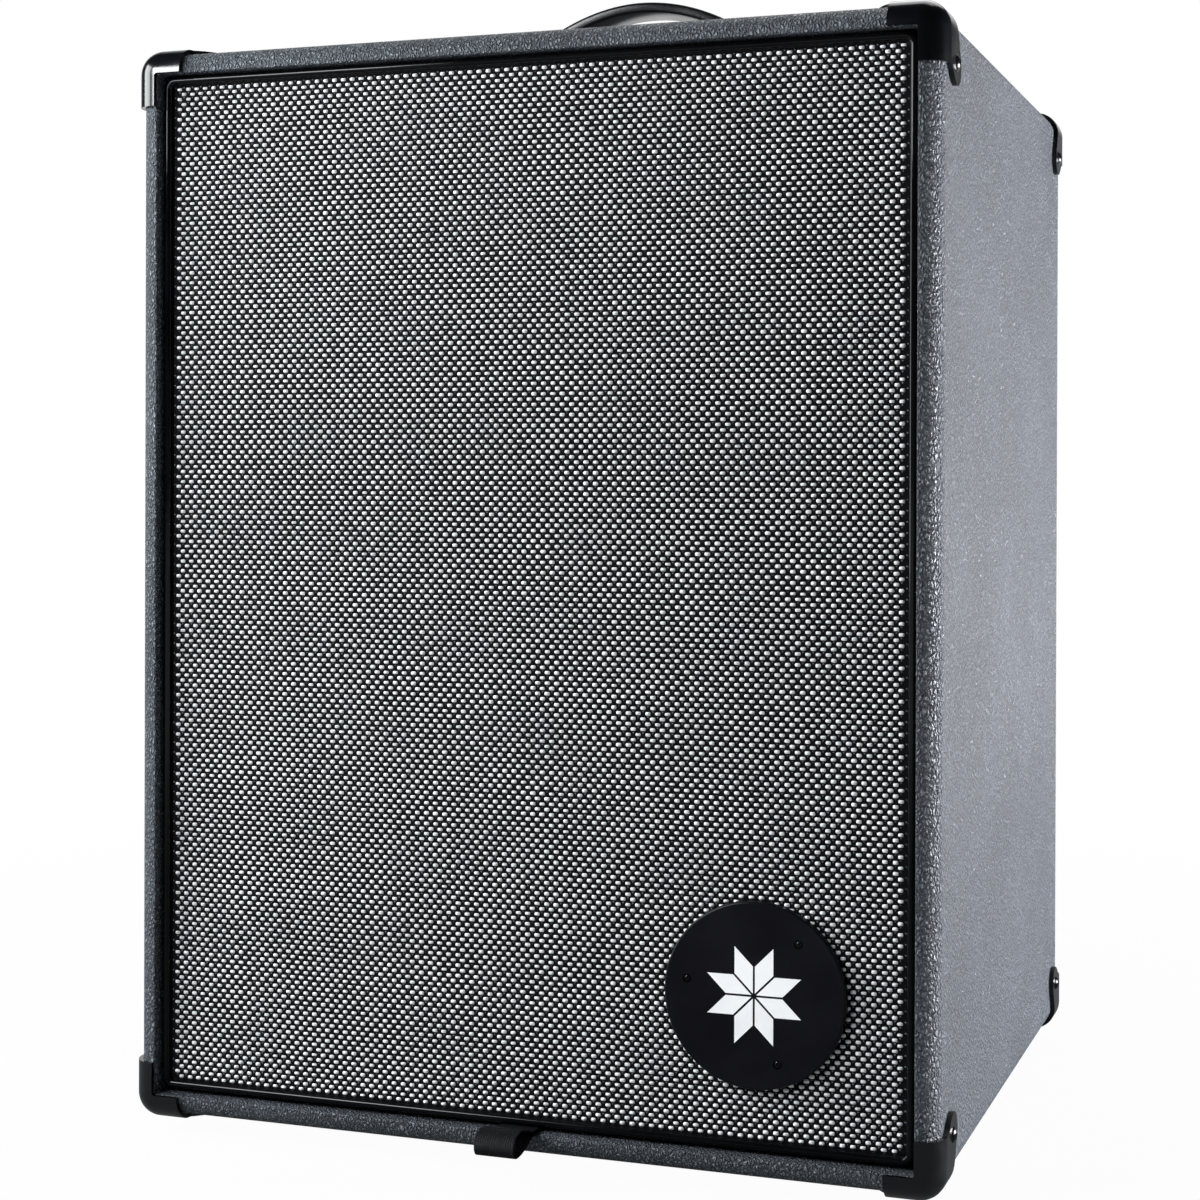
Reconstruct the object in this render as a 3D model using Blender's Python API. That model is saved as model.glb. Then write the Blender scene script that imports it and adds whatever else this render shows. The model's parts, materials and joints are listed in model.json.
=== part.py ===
"""A bass combo amplifier as separate pieces, in metres, with +Z up.

The front faces -Y, and +X is on the right of someone who looks at the grille.
The origin is on the floor, under the middle of the whole footprint, pull tab included.
"""

import math

import bmesh
import bpy
from mathutils import Euler, Matrix, Vector

# Cabinet
WIDTH = 0.458
DEPTH = 0.416
HEIGHT = 0.600
WALL = 0.012
ROUNDOVER = 0.0116
ROUND_STEPS = 4
FOOT_HEIGHT = 0.012
FOOT_INSET = 0.065
GAP = 0.0003

# Metal corners
CORNER_PROUD = 0.0028
CORNER_SHEET = 0.0024
CORNER_INNER = 0.0006
CORNER_FILLET = 0.0025
CORNER_TOP_LIP = 0.0275
CORNER_SIDE_LIP = 0.030

# Grille, measured back from the cabinet's front edge
CLOTH_FACE = 0.0087
CLOTH_THICK = 0.0010
FRAME_FACE = 0.0100
FRAME_THICK = 0.0110
FRAME_BAR = 0.028
BEAD_RADIUS = 0.0022
BEAD_CENTRE = 0.0075
GRILLE_SIDE_GAP = 0.0010
GRILLE_FLOOR_GAP = 0.0026
GRILLE_CORNER = 0.0070

# Badge and pull tab
BADGE_RADIUS = 0.0485
BADGE_THICK = 0.0048
BADGE_X = 0.1327
BADGE_Z = 0.0948
TAB_X = 0.0025
TAB_WIDTH = 0.022
TAB_THICK = 0.0009
TAB_SLIT = 0.0002
TAB_OUT = 0.0315

# Strap handle
STRAP_WIDTH = 0.030
STRAP_THICK = 0.0062
STRAP_RISE = 0.0530
STRAP_HALF_SPAN = 0.1035
STRAP_LOW = 0.0037
STRAP_END = 0.147
STRAP_BACK = 0.228
CAP_INNER = 0.111
CAP_OUTER = 0.163
CAP_WIDTH = 0.040
CAP_HEIGHT = 0.0112

# Boards inside
BAFFLE_FACE = 0.030
BOARD = 0.015
REAR_INSET = 0.008
REAR_BOARD = 0.012
AMP_HEIGHT = 0.105
AMP_FRONT = 0.252
SHELF_BOARD = 0.010

# Loudspeakers: places are across from the middle and up from the cabinet's bottom
UPPER_WOOFER = (-0.070, 0.434)
LOWER_WOOFER = (0.070, 0.166)
WOOFER_RIM = 0.129
WOOFER_HOLE = 0.114
WOOFER_SIDES = 20
CONE_RADIUS = 0.100
COIL_RADIUS = 0.0262
HORN = (0.138, 0.508)
HORN_FLANGE = 0.056
HORN_MOUTH = 0.046
HORN_THROAT = 0.013
HORN_DEPTH = 0.070
PORT = (-0.150, 0.085)
PORT_BORE = 0.036
PORT_LENGTH = 0.140

# Amplifier
CHASSIS_HALF = 0.196
SHEET = 0.0015
PLATE = 0.0020
WELL_HALF = 0.186
WELL_FRONT = 0.285
WELL_BACK = 0.385
CONTROL_ROW = 0.335
KNOB_PITCH = 0.040
KNOB_NAMES = ("gain_knob", "bass_knob", "low_mid_knob", "high_mid_knob", "treble_knob", "master_knob")
KNOB_SKIRT = 0.0100
KNOB_BODY = 0.0078
KNOB_HEIGHT = 0.0108
MUTE_X = -0.138
LAMP_X = 0.138
SOCKET_X = 0.166
INLET_X = -0.150
OUTLET_X = (-0.088, -0.044)
FAN_X = 0.130
FAN_HALF = 0.030
FAN_BORE = 0.0280

# Where the cabinet stands
FRONT = (TAB_OUT - DEPTH - CORNER_PROUD) / 2
BACK = FRONT + DEPTH
BASE = FOOT_HEIGHT
TOP = BASE + HEIGHT
INNER_HALF = WIDTH / 2 - WALL
INNER_LOW = BASE + WALL
INNER_HIGH = TOP - WALL
AMP_FLOOR = INNER_HIGH - AMP_HEIGHT
PLATE_TOP = INNER_HIGH - GAP
REAR_PLATE_FACE = BACK - REAR_INSET

TO_FRONT = (math.radians(90), 0, 0)
TO_BACK = (math.radians(-90), 0, 0)

BLACK_METAL = ((0.012, 0.012, 0.014), 0.35, 0.6)
BLACK_PLASTIC = ((0.015, 0.015, 0.016), 0.45, 0.0)
RUBBER = ((0.02, 0.02, 0.02), 0.8, 0.0)
PLYWOOD = ((0.42, 0.29, 0.17), 0.7, 0.0)
BLACK_BOARD = ((0.02, 0.02, 0.02), 0.85, 0.0)
STEEL = ((0.55, 0.55, 0.56), 0.35, 1.0)
CIRCUIT = ((0.02, 0.14, 0.06), 0.5, 0.0)


def clear_scene():
    for thing in list(bpy.data.objects):
        bpy.data.objects.remove(thing, do_unlink=True)


def finish(obj, look):
    """Give an object its own material: colour, roughness and metallic value."""
    colour, roughness, metallic = look
    material = bpy.data.materials.new(obj.name)
    material.use_nodes = True
    shader = material.node_tree.nodes["Principled BSDF"]
    shader.inputs["Base Color"].default_value = (*colour, 1.0)
    shader.inputs["Roughness"].default_value = roughness
    shader.inputs["Metallic"].default_value = metallic
    obj.data.materials.clear()
    obj.data.materials.append(material)
    return obj


def smooth(obj, angle=35):
    obj.data.shade_smooth()
    obj.data.set_sharp_from_angle(angle=math.radians(angle))
    return obj


def to_object(name, bm, location=(0, 0, 0), rotation=(0, 0, 0)):
    bmesh.ops.recalc_face_normals(bm, faces=bm.faces)
    mesh = bpy.data.meshes.new(name)
    bm.to_mesh(mesh)
    bm.free()
    obj = bpy.data.objects.new(name, mesh)
    obj.location = location
    obj.rotation_euler = rotation
    bpy.context.collection.objects.link(obj)
    return obj


def block(name, low, high):
    """A box between two opposite corners, with its origin in its middle."""
    low = Vector(low)
    high = Vector(high)
    bm = bmesh.new()
    bmesh.ops.create_cube(bm, size=1.0)
    bmesh.ops.scale(bm, vec=high - low, verts=bm.verts)
    return to_object(name, bm, (low + high) / 2)


def cylinder(name, radius, low, high, location, rotation=(0, 0, 0), segments=24):
    """A round bar along its own Z between two heights."""
    bm = bmesh.new()
    bmesh.ops.create_cone(
        bm, cap_ends=True, segments=segments, radius1=radius, radius2=radius, depth=high - low
    )
    bmesh.ops.translate(bm, vec=(0, 0, (low + high) / 2), verts=bm.verts)
    return smooth(to_object(name, bm, location, rotation))


def lathe(name, outline, location=(0, 0, 0), rotation=(0, 0, 0), segments=32):
    """Turn a closed outline of (radius, height) points about Z. An outline that meets the axis closes there."""
    bm = bmesh.new()
    points = [bm.verts.new((radius, 0, height)) for radius, height in outline]
    for here, there in zip(points, points[1:] + points[:1]):
        if here.co.x > 0 or there.co.x > 0:
            bm.edges.new((here, there))
    bmesh.ops.spin(
        bm,
        geom=bm.verts[:] + bm.edges[:],
        cent=(0, 0, 0),
        axis=(0, 0, 1),
        angle=math.tau,
        steps=segments,
        use_merge=True,
    )
    bmesh.ops.remove_doubles(bm, verts=bm.verts, dist=1e-6)
    return smooth(to_object(name, bm, location, rotation))


def bridge_rings(bm, rings, closed):
    """Join neighbouring rings of equally many points with quads, and the last to the first if closed."""
    pairs = list(zip(rings, rings[1:]))
    if closed:
        pairs.append((rings[-1], rings[0]))
    for one, other in pairs:
        count = len(one)
        for n in range(count):
            m = (n + 1) % count
            bm.faces.new((one[n], one[m], other[m], other[n]))


def loft(name, rings, closed=False, location=(0, 0, 0), rotation=(0, 0, 0)):
    """A skin through rings of points. Open lofts get a flat cap at both ends."""
    bm = bmesh.new()
    made = [[bm.verts.new(point) for point in ring] for ring in rings]
    bridge_rings(bm, made, closed)
    if not closed:
        bm.faces.new(made[0])
        bm.faces.new(made[-1])
    return smooth(to_object(name, bm, location, rotation))


def prism(name, outline, low, high, axis, location=(0, 0, 0)):
    """Extrude an outline along the named axis. Its two numbers go on the other two axes, in X, Y, Z order."""
    along = "XYZ".index(axis)
    bm = bmesh.new()
    corners = []
    for first, second in outline:
        point = [first, second]
        point.insert(along, low)
        corners.append(bm.verts.new(point))
    face = bm.faces.new(corners)
    grown = bmesh.ops.extrude_face_region(bm, geom=[face])
    moved = [item for item in grown["geom"] if isinstance(item, bmesh.types.BMVert)]
    step = Vector((0, 0, 0))
    step[along] = high - low
    bmesh.ops.translate(bm, vec=step, verts=moved)
    return to_object(name, bm, location)


def bevel(obj, width, segments=3, angle=40):
    edge = obj.modifiers.new("bevel", "BEVEL")
    edge.width = width
    edge.segments = segments
    edge.limit_method = "ANGLE"
    edge.angle_limit = math.radians(angle)
    return obj


def combine(obj, others, operation):
    """Cut, join or keep the overlap of an object with others, which become guides."""
    for other in others:
        change = obj.modifiers.new(other.name, "BOOLEAN")
        change.operation = operation
        change.solver = "EXACT"
        change.object = other
        other.hide_render = True
        other.display_type = "WIRE"
    return obj


def cut(obj, cutters):
    return combine(obj, cutters, "DIFFERENCE")


def add(obj, extras):
    return combine(obj, extras, "UNION")


def rounded_rectangle(width, height, radius, steps=5):
    """Points round a rectangle with quarter-circle corners, anticlockwise from the right side."""
    points = []
    for quarter in range(4):
        side = math.radians(90 * quarter)
        across = width / 2 - radius if quarter in (0, 3) else radius - width / 2
        up = height / 2 - radius if quarter in (0, 1) else radius - height / 2
        for step in range(steps + 1):
            turn = side + math.radians(90) * step / steps
            points.append((across + radius * math.cos(turn), up + radius * math.sin(turn)))
    return points


def smooth_path(points, steps=4):
    """A Catmull-Rom curve through the points."""
    points = [Vector(point) for point in points]
    ends = [2 * points[0] - points[1]] + points + [2 * points[-1] - points[-2]]
    path = []
    for a, b, c, d in zip(ends, ends[1:], ends[2:], ends[3:]):
        for step in range(steps):
            t = step / steps
            path.append(
                0.5 * (2 * b + (c - a) * t + (2 * a - 5 * b + 4 * c - d) * t**2 + (3 * b - a - 3 * c + d) * t**3)
            )
    path.append(points[-1])
    return path


# Cabinet


def cabinet_shell():
    """Top, bottom and sides as one covered tube, rounded outside, with the control well cut in its top."""
    shell = block("cabinet_shell", (-WIDTH / 2, FRONT, BASE), (WIDTH / 2, BACK, TOP))
    bevel(shell, ROUNDOVER, ROUND_STEPS)
    inside = block(
        "cut_cabinet_inside",
        (-INNER_HALF, FRONT - WALL, INNER_LOW),
        (INNER_HALF, BACK + WALL, INNER_HIGH),
    )
    well = block(
        "cut_control_well",
        (-WELL_HALF, FRONT + WELL_FRONT, INNER_HIGH - WALL),
        (WELL_HALF, FRONT + WELL_BACK, TOP + WALL),
    )
    cut(shell, [inside, well])
    smooth(shell)
    finish(shell, ((0.125, 0.135, 0.150), 0.55, 0.0))


def baffle_board():
    front = FRONT + BAFFLE_FACE
    side = INNER_HALF - GAP
    board = block("baffle_board", (-side, front, INNER_LOW + GAP), (side, front + BOARD, INNER_HIGH - GAP))
    holes = []
    for name, place, radius in (
        ("cut_upper_woofer", UPPER_WOOFER, WOOFER_HOLE),
        ("cut_lower_woofer", LOWER_WOOFER, WOOFER_HOLE),
        ("cut_port", PORT, PORT_BORE + 0.0040),
    ):
        centre = (place[0], front, BASE + place[1])
        holes.append(cylinder(name, radius, -2 * BOARD, BOARD, centre, TO_FRONT, WOOFER_SIDES))
    reach = HORN_MOUTH + 0.0035
    holes.append(
        block(
            "cut_horn",
            (HORN[0] - reach, front - BOARD, BASE + HORN[1] - reach),
            (HORN[0] + reach, front + 2 * BOARD, BASE + HORN[1] + reach),
        )
    )
    cut(board, holes)
    finish(board, BLACK_BOARD)


def rear_panel():
    side = INNER_HALF - GAP
    face = BACK - REAR_INSET
    panel = block(
        "rear_panel",
        (-side, face - REAR_BOARD, INNER_LOW + GAP),
        (side, face, AMP_FLOOR - GAP),
    )
    finish(panel, BLACK_BOARD)


def amplifier_boards():
    """The shelf and the bulkhead that close the loudspeaker chamber off from the amplifier."""
    side = INNER_HALF - GAP
    shelf_top = AMP_FLOOR - GAP
    rear = BACK - REAR_INSET - REAR_BOARD - GAP
    front = FRONT + AMP_FRONT
    shelf = block("amp_shelf", (-side, front - SHELF_BOARD, shelf_top - SHELF_BOARD), (side, rear, shelf_top))
    bulkhead = block(
        "amp_bulkhead",
        (-side, front - SHELF_BOARD, AMP_FLOOR),
        (side, front, INNER_HIGH - GAP),
    )
    finish(shelf, PLYWOOD)
    finish(bulkhead, PLYWOOD)


# Metal corners


def corner_block(name, proud):
    """A rounded block at the upper right front corner that stands proud of the cabinet's three faces."""
    size = 0.060
    corner = Vector((WIDTH / 2 + proud, FRONT - proud, TOP + proud))
    shape = block(name, corner + Vector((-size, 0, -size)), corner + Vector((0, size, 0)))
    return bevel(shape, ROUNDOVER + proud, ROUND_STEPS)


def flange_outline(proud, lip):
    """The flange on one face, as points (back from the front edge, down from the corner): a rounded petal."""
    petal = (
        (29.0, -2.0),
        (30.0, 9.2),
        (34.0, 17.7),
        (37.0, 23.5),
        (38.2, 28.5),
        (37.2, 33.0),
        (34.0, 36.7),
        (29.5, 38.4),
        (25.5, 37.8),
        (20.5, 35.2),
        (16.5, 31.8),
    )
    outline = [(-2 * proud, -2 * proud)]
    for back, down in petal:
        outline.append((back / 1000, down / 1000))
    outline.append((ROUNDOVER + 0.0012, lip))
    outline.append((-2 * proud, lip))
    return outline


def lip_outline(corner, reach):
    """The lip on the cabinet's front edge: an L with a small fillet in its inner corner."""
    inner = WALL - CORNER_INNER
    outline = [
        (corner.x + reach, corner.z + reach),
        (corner.x - CORNER_TOP_LIP, corner.z + reach),
        (corner.x - CORNER_TOP_LIP, corner.z - inner),
    ]
    centre = inner + CORNER_FILLET
    for turn in (90, 60, 30, 0):
        angle = math.radians(turn)
        outline.append(
            (
                corner.x - centre + CORNER_FILLET * math.cos(angle),
                corner.z - centre + CORNER_FILLET * math.sin(angle),
            )
        )
    outline.append((corner.x - inner, corner.z - CORNER_SIDE_LIP))
    outline.append((corner.x + reach, corner.z - CORNER_SIDE_LIP))
    return outline


def corner_mesh():
    """One bent sheet corner, as a mesh about the cabinet's upper right front corner."""
    sheet = corner_block("guide_corner_outside", CORNER_PROUD)
    inside = corner_block("cut_corner_inside", CORNER_PROUD - CORNER_SHEET)
    corner = Vector((WIDTH / 2, FRONT, TOP))
    reach = CORNER_PROUD * 2
    side = prism(
        "guide_corner_side",
        [(corner.y + back, corner.z - down) for back, down in flange_outline(CORNER_PROUD, CORNER_SIDE_LIP)],
        corner.x - ROUNDOVER,
        corner.x + reach,
        "X",
    )
    top = prism(
        "guide_corner_top",
        [(corner.x - down, corner.y + back) for back, down in flange_outline(CORNER_PROUD, CORNER_TOP_LIP)],
        corner.z - ROUNDOVER,
        corner.z + reach,
        "Z",
    )
    front = prism("guide_corner_lip", lip_outline(corner, reach), corner.y - reach, corner.y + ROUNDOVER, "Y")
    add(side, [top, front])
    cut(sheet, [inside])
    combine(sheet, [side], "INTERSECT")
    bpy.context.view_layer.update()
    shaped = sheet.evaluated_get(bpy.context.evaluated_depsgraph_get())
    mesh = bpy.data.meshes.new_from_object(shaped)
    bm = bmesh.new()
    bm.from_mesh(mesh)
    bmesh.ops.translate(bm, vec=sheet.location - corner, verts=bm.verts)
    bmesh.ops.remove_doubles(bm, verts=bm.verts, dist=1e-5)
    bm.to_mesh(mesh)
    bm.free()
    sheet.hide_render = True
    sheet.display_type = "WIRE"
    return mesh


def metal_corners():
    """Mirror the one corner to all eight, and let each keep its own mesh."""
    pattern = corner_mesh()
    for across, side_name in ((-1, "left"), (1, "right")):
        for along, end_name in ((-1, "front"), (1, "rear")):
            for up, level_name in ((-1, "bottom"), (1, "top")):
                bm = bmesh.new()
                bm.from_mesh(pattern)
                bmesh.ops.scale(bm, vec=(across, -along, up), verts=bm.verts)
                place = (
                    across * WIDTH / 2,
                    FRONT if along < 0 else BACK,
                    TOP if up > 0 else BASE,
                )
                corner = to_object(f"corner_{end_name}_{level_name}_{side_name}", bm, place)
                finish(smooth(corner, 30), BLACK_METAL)


# Feet and handle


def feet():
    outline = [
        (0.0, 0.0),
        (0.0150, 0.0),
        (0.0168, 0.0018),
        (0.0190, FOOT_HEIGHT - GAP),
        (0.0, FOOT_HEIGHT - GAP),
    ]
    side = WIDTH / 2 - 0.045
    for across, side_name in ((-side, "left"), (side, "right")):
        for along, end_name in ((FRONT + FOOT_INSET, "front"), (BACK - FOOT_INSET, "rear")):
            foot = lathe(f"foot_{end_name}_{side_name}", outline, (across, along, 0), segments=14)
            finish(foot, RUBBER)


def strap_height(across):
    """Height of the strap's middle over the cabinet's top: an arch that levels off into the end caps."""
    arch = STRAP_RISE * (1 - (across / STRAP_HALF_SPAN) ** 2)
    blend = 0.008
    return (arch + STRAP_LOW + math.hypot(arch - STRAP_LOW, blend)) / 2


def strap_section():
    """The strap's section: flat below, with a raised rim along both edges above."""
    half = STRAP_WIDTH / 2
    thick = STRAP_THICK / 2
    rim = 0.0040
    right = [
        (half - 0.0012, -thick),
        (half, -thick + 0.0012),
        (half, thick - 0.0012),
        (half - 0.0012, thick),
        (half - rim + 0.0010, thick),
        (half - rim, thick - 0.0008),
    ]
    left = [(-across, up) for across, up in reversed(right)]
    return right + left


def handle_strap():
    steps = 20
    rings = []
    for step in range(steps + 1):
        across = -STRAP_END + 2 * STRAP_END * step / steps
        slope = (strap_height(across + 1e-4) - strap_height(across - 1e-4)) / 2e-4
        normal = Vector((-slope, 0, 1)).normalized()
        middle = Vector((across, 0, strap_height(across)))
        rings.append([middle + Vector((0, wide, 0)) + normal * up for wide, up in strap_section()])
    strap = loft("handle_strap", rings, location=(0, FRONT + STRAP_BACK, TOP))
    finish(strap, RUBBER)


def handle_caps():
    """Two pressed caps that hold the strap's ends down, each with a slot that the strap runs out of."""
    half = CAP_WIDTH / 2
    middle = FRONT + STRAP_BACK
    slot_half = STRAP_WIDTH / 2 + 0.0005
    slot_top = TOP + strap_height(CAP_INNER) + STRAP_THICK / 2 + 0.0004
    for sign, side_name in ((-1, "left"), (1, "right")):
        ends = sorted((sign * CAP_INNER, sign * CAP_OUTER))
        cap = block(
            f"handle_cap_{side_name}",
            (ends[0], middle - half, TOP + GAP),
            (ends[1], middle + half, TOP + CAP_HEIGHT),
        )
        bevel(cap, 0.0025, 3)
        ends = sorted((sign * (CAP_INNER - 0.010), sign * (STRAP_END + 0.0005)))
        slot = block(
            f"cut_handle_cap_{side_name}",
            (ends[0], middle - slot_half, TOP - 0.002),
            (ends[1], middle + slot_half, slot_top),
        )
        entry = block(
            f"cut_handle_mouth_{side_name}",
            (-0.004, -slot_half, -0.006),
            (0.004, slot_half, 0.006),
        )
        entry.location = (sign * (CAP_INNER + 0.001), middle, slot_top - 0.0035)
        entry.rotation_euler = (0, sign * math.radians(-35), 0)
        cut(cap, [slot, entry])
        finish(smooth(cap), BLACK_METAL)


# Grille

GRILLE_WIDTH = 2 * (INNER_HALF - GRILLE_SIDE_GAP)
GRILLE_LOW = INNER_LOW + GRILLE_FLOOR_GAP
GRILLE_HIGH = INNER_HIGH - GRILLE_SIDE_GAP
GRILLE_HEIGHT = GRILLE_HIGH - GRILLE_LOW
GRILLE_MIDDLE = (GRILLE_LOW + GRILLE_HIGH) / 2


def grille_frame():
    """A board frame with a cross bar, and four pads that reach the baffle and hold it there."""
    face = FRONT + FRAME_FACE
    back = face + FRAME_THICK
    outline = rounded_rectangle(GRILLE_WIDTH, GRILLE_HEIGHT, GRILLE_CORNER, 3)
    frame = prism("grille_frame", outline, face, back, "Y", (0, 0, GRILLE_MIDDLE))
    side = GRILLE_WIDTH / 2 - FRAME_BAR
    middle = BASE + (UPPER_WOOFER[1] + LOWER_WOOFER[1]) / 2
    lower = block(
        "cut_frame_lower",
        (-side, face - 0.01, GRILLE_LOW + FRAME_BAR),
        (side, back + 0.01, middle - FRAME_BAR / 2),
    )
    upper = block(
        "cut_frame_upper",
        (-side, face - 0.01, middle + FRAME_BAR / 2),
        (side, back + 0.01, GRILLE_HIGH - FRAME_BAR),
    )
    pads = []
    pad = 0.018
    for across in (-1, 1):
        for up, low in ((0, GRILLE_LOW + 0.002), (1, GRILLE_HIGH - 0.002 - pad)):
            ends = sorted((across * (GRILLE_WIDTH / 2 - 0.002), across * (GRILLE_WIDTH / 2 - 0.002 - pad)))
            pads.append(
                block(
                    f"guide_frame_pad_{across + 1}_{up}",
                    (ends[0], back - 0.001, low),
                    (ends[1], FRONT + BAFFLE_FACE - GAP, low + pad),
                )
            )
    cut(frame, [lower, upper])
    add(frame, pads)
    finish(frame, BLACK_BOARD)


def bead_inset():
    """How far in from the grille's edge the bead's inner side is."""
    return 2 * BEAD_RADIUS + GAP


def grille_cloth():
    inset = bead_inset()
    outline = rounded_rectangle(GRILLE_WIDTH - 2 * inset, GRILLE_HEIGHT - 2 * inset, GRILLE_CORNER - 0.004, 3)
    face = FRONT + CLOTH_FACE
    cloth = prism("grille_cloth", outline, face, face + CLOTH_THICK, "Y", (0, 0, GRILLE_MIDDLE))
    finish(cloth, ((0.25, 0.25, 0.26), 0.7, 0.0))


def grille_piping():
    """A round bead in a closed loop round the cloth."""
    radius = BEAD_RADIUS
    outline = rounded_rectangle(
        GRILLE_WIDTH - 2 * radius, GRILLE_HEIGHT - 2 * radius, GRILLE_CORNER - radius, 4
    )
    sides = 6
    rings = []
    count = len(outline)
    for n, (across, up) in enumerate(outline):
        before = Vector(outline[n - 1])
        after = Vector(outline[(n + 1) % count])
        along = (after - before).normalized()
        outward = Vector((along.y, 0, -along.x))
        ring = []
        for side in range(sides):
            turn = math.tau * side / sides
            offset = outward * radius * math.cos(turn) + Vector((0, -radius * math.sin(turn), 0))
            ring.append(Vector((across, 0, up)) + offset)
        rings.append(ring)
    bead = loft("grille_piping", rings, True, (0, FRONT + BEAD_CENTRE, GRILLE_MIDDLE))
    finish(bead, ((0.01, 0.01, 0.01), 0.2, 0.0))


def grille_badge():
    """A plain round plate with a rounded rim, screwed on over the cloth."""
    edge = 0.0012
    outline = [
        (0.0, 0.0),
        (BADGE_RADIUS, 0.0),
        (BADGE_RADIUS, BADGE_THICK - edge),
        (BADGE_RADIUS - edge / 3, BADGE_THICK - edge / 3),
        (BADGE_RADIUS - edge, BADGE_THICK),
        (0.0, BADGE_THICK),
    ]
    place = (BADGE_X, FRONT + CLOTH_FACE - GAP, BASE + BADGE_Z)
    finish(lathe("grille_badge", outline, place, TO_FRONT, 32), ((0.012, 0.012, 0.016), 0.35, 0.0))


def pull_tab():
    """A webbing loop: two layers under the frame that part into an open loop in front of the cabinet."""
    lower = WALL + GAP + TAB_THICK / 2
    upper = lower + TAB_THICK + TAB_SLIT
    points = [
        (0.0200, upper),
        (0.0060, upper),
        (-0.0020, upper + 0.0006),
        (-0.0100, 0.0170),
        (-0.0185, 0.0192),
        (-0.0262, 0.0182),
        (-0.0305, 0.0140),
        (-0.0300, 0.0095),
        (-0.0262, 0.0073),
        (-0.0180, 0.0077),
        (-0.0090, 0.0102),
        (-0.0020, lower),
        (0.0060, lower),
        (0.0200, lower),
    ]
    path = smooth_path(points, 2)
    rings = []
    for n, here in enumerate(path):
        along = (path[min(n + 1, len(path) - 1)] - path[max(n - 1, 0)]).normalized()
        across = Vector((along.y, -along.x)) * TAB_THICK / 2
        half = TAB_WIDTH / 2
        inner = here - across
        outer = here + across
        rings.append(
            [
                (-half, outer.x, outer.y),
                (half, outer.x, outer.y),
                (half, inner.x, inner.y),
                (-half, inner.x, inner.y),
            ]
        )
    tab = loft("pull_tab", rings, location=(TAB_X, FRONT, BASE))
    finish(smooth(tab, 50), ((0.012, 0.012, 0.013), 0.7, 0.0))


# Loudspeakers


def woofer_basket(name, place):
    """A pressed basket: a rim with a ledge for the surround, six legs, and a seat for the magnet."""
    outline = [
        (WOOFER_RIM, GAP),
        (WOOFER_RIM, 0.0050),
        (WOOFER_RIM - 0.0015, 0.0063),
        (0.1158, 0.0063),
        (0.1158, 0.0035),
        (0.1085, 0.0035),
        (0.0560, -0.0620),
        (0.0300, -0.0620),
        (0.0300, -0.0650),
        (0.0580, -0.0650),
        (0.1125, -0.0060),
        (0.1125, GAP),
    ]
    basket = lathe(name, outline, place, TO_FRONT, WOOFER_SIDES)
    windows = []
    for leg in range(6):
        window = block(f"cut_{name}_{leg}", (0.060, -0.0225, -0.0540), (0.125, 0.0225, -0.0130))
        turn = Euler((0, 0, math.radians(60 * leg + 30))).to_matrix().to_4x4()
        stand = Matrix.Translation(place) @ Euler(TO_FRONT).to_matrix().to_4x4()
        window.matrix_world = stand @ turn @ Matrix.Translation(window.location)
        windows.append(window)
    cut(basket, windows)
    finish(basket, BLACK_METAL)


def woofer_magnet(name, place):
    """Top plate, ring and back plate with the pole piece, which leave the coil's round gap open in front."""
    outline = [
        (0.0, -0.0655),
        (0.0245, -0.0655),
        (0.0245, -0.0923),
        (0.0320, -0.0923),
        (0.0320, -0.0723),
        (0.0272, -0.0723),
        (0.0272, -0.0653),
        (0.0580, -0.0653),
        (0.0580, -0.0723),
        (0.0720, -0.0730),
        (0.0720, -0.0915),
        (0.0590, -0.0930),
        (0.0580, -0.1003),
        (0.0, -0.1003),
    ]
    finish(lathe(name, outline, place, TO_FRONT, 16), ((0.03, 0.03, 0.032), 0.5, 0.4))


def cone_height(radius):
    """Height of the cone's front at a radius: a slightly curved funnel."""
    share = (radius - COIL_RADIUS) / (CONE_RADIUS - COIL_RADIUS)
    return -0.0400 + 0.0420 * share**1.15


def woofer_cone(name, place):
    """Paper cone with its dust cap in front and the coil's tube behind."""
    paper = 0.0012
    cap_edge = 0.040
    cap_rise = 0.0130
    cap_foot = cone_height(cap_edge)
    steps = 3
    front = []
    for step in range(steps + 1):
        radius = CONE_RADIUS + (cap_edge - CONE_RADIUS) * step / steps
        front.append((radius, cone_height(radius)))
    for share in (0.35, 0.7):
        front.append((cap_edge * (1 - share), cap_foot + cap_rise * (1 - (1 - share) ** 2)))
    front.append((0.0, cap_foot + cap_rise))
    under = [(0.0, cap_foot + cap_rise - paper)]
    under.append((cap_edge / 2, cap_foot + cap_rise * 0.75 - paper))
    under.append((cap_edge - 0.0035, cone_height(cap_edge - 0.0035)))
    under.append((COIL_RADIUS - 0.0007, cone_height(COIL_RADIUS)))
    under.append((COIL_RADIUS - 0.0007, -0.0740))
    under.append((COIL_RADIUS, -0.0740))
    under.append((COIL_RADIUS, cone_height(COIL_RADIUS) - paper))
    for share in (0.5, 1.0):
        radius = COIL_RADIUS + (CONE_RADIUS - COIL_RADIUS) * share
        under.append((radius, cone_height(radius) - paper))
    finish(lathe(name, front + under, place, TO_FRONT, WOOFER_SIDES), ((0.03, 0.03, 0.03), 0.8, 0.0))


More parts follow.
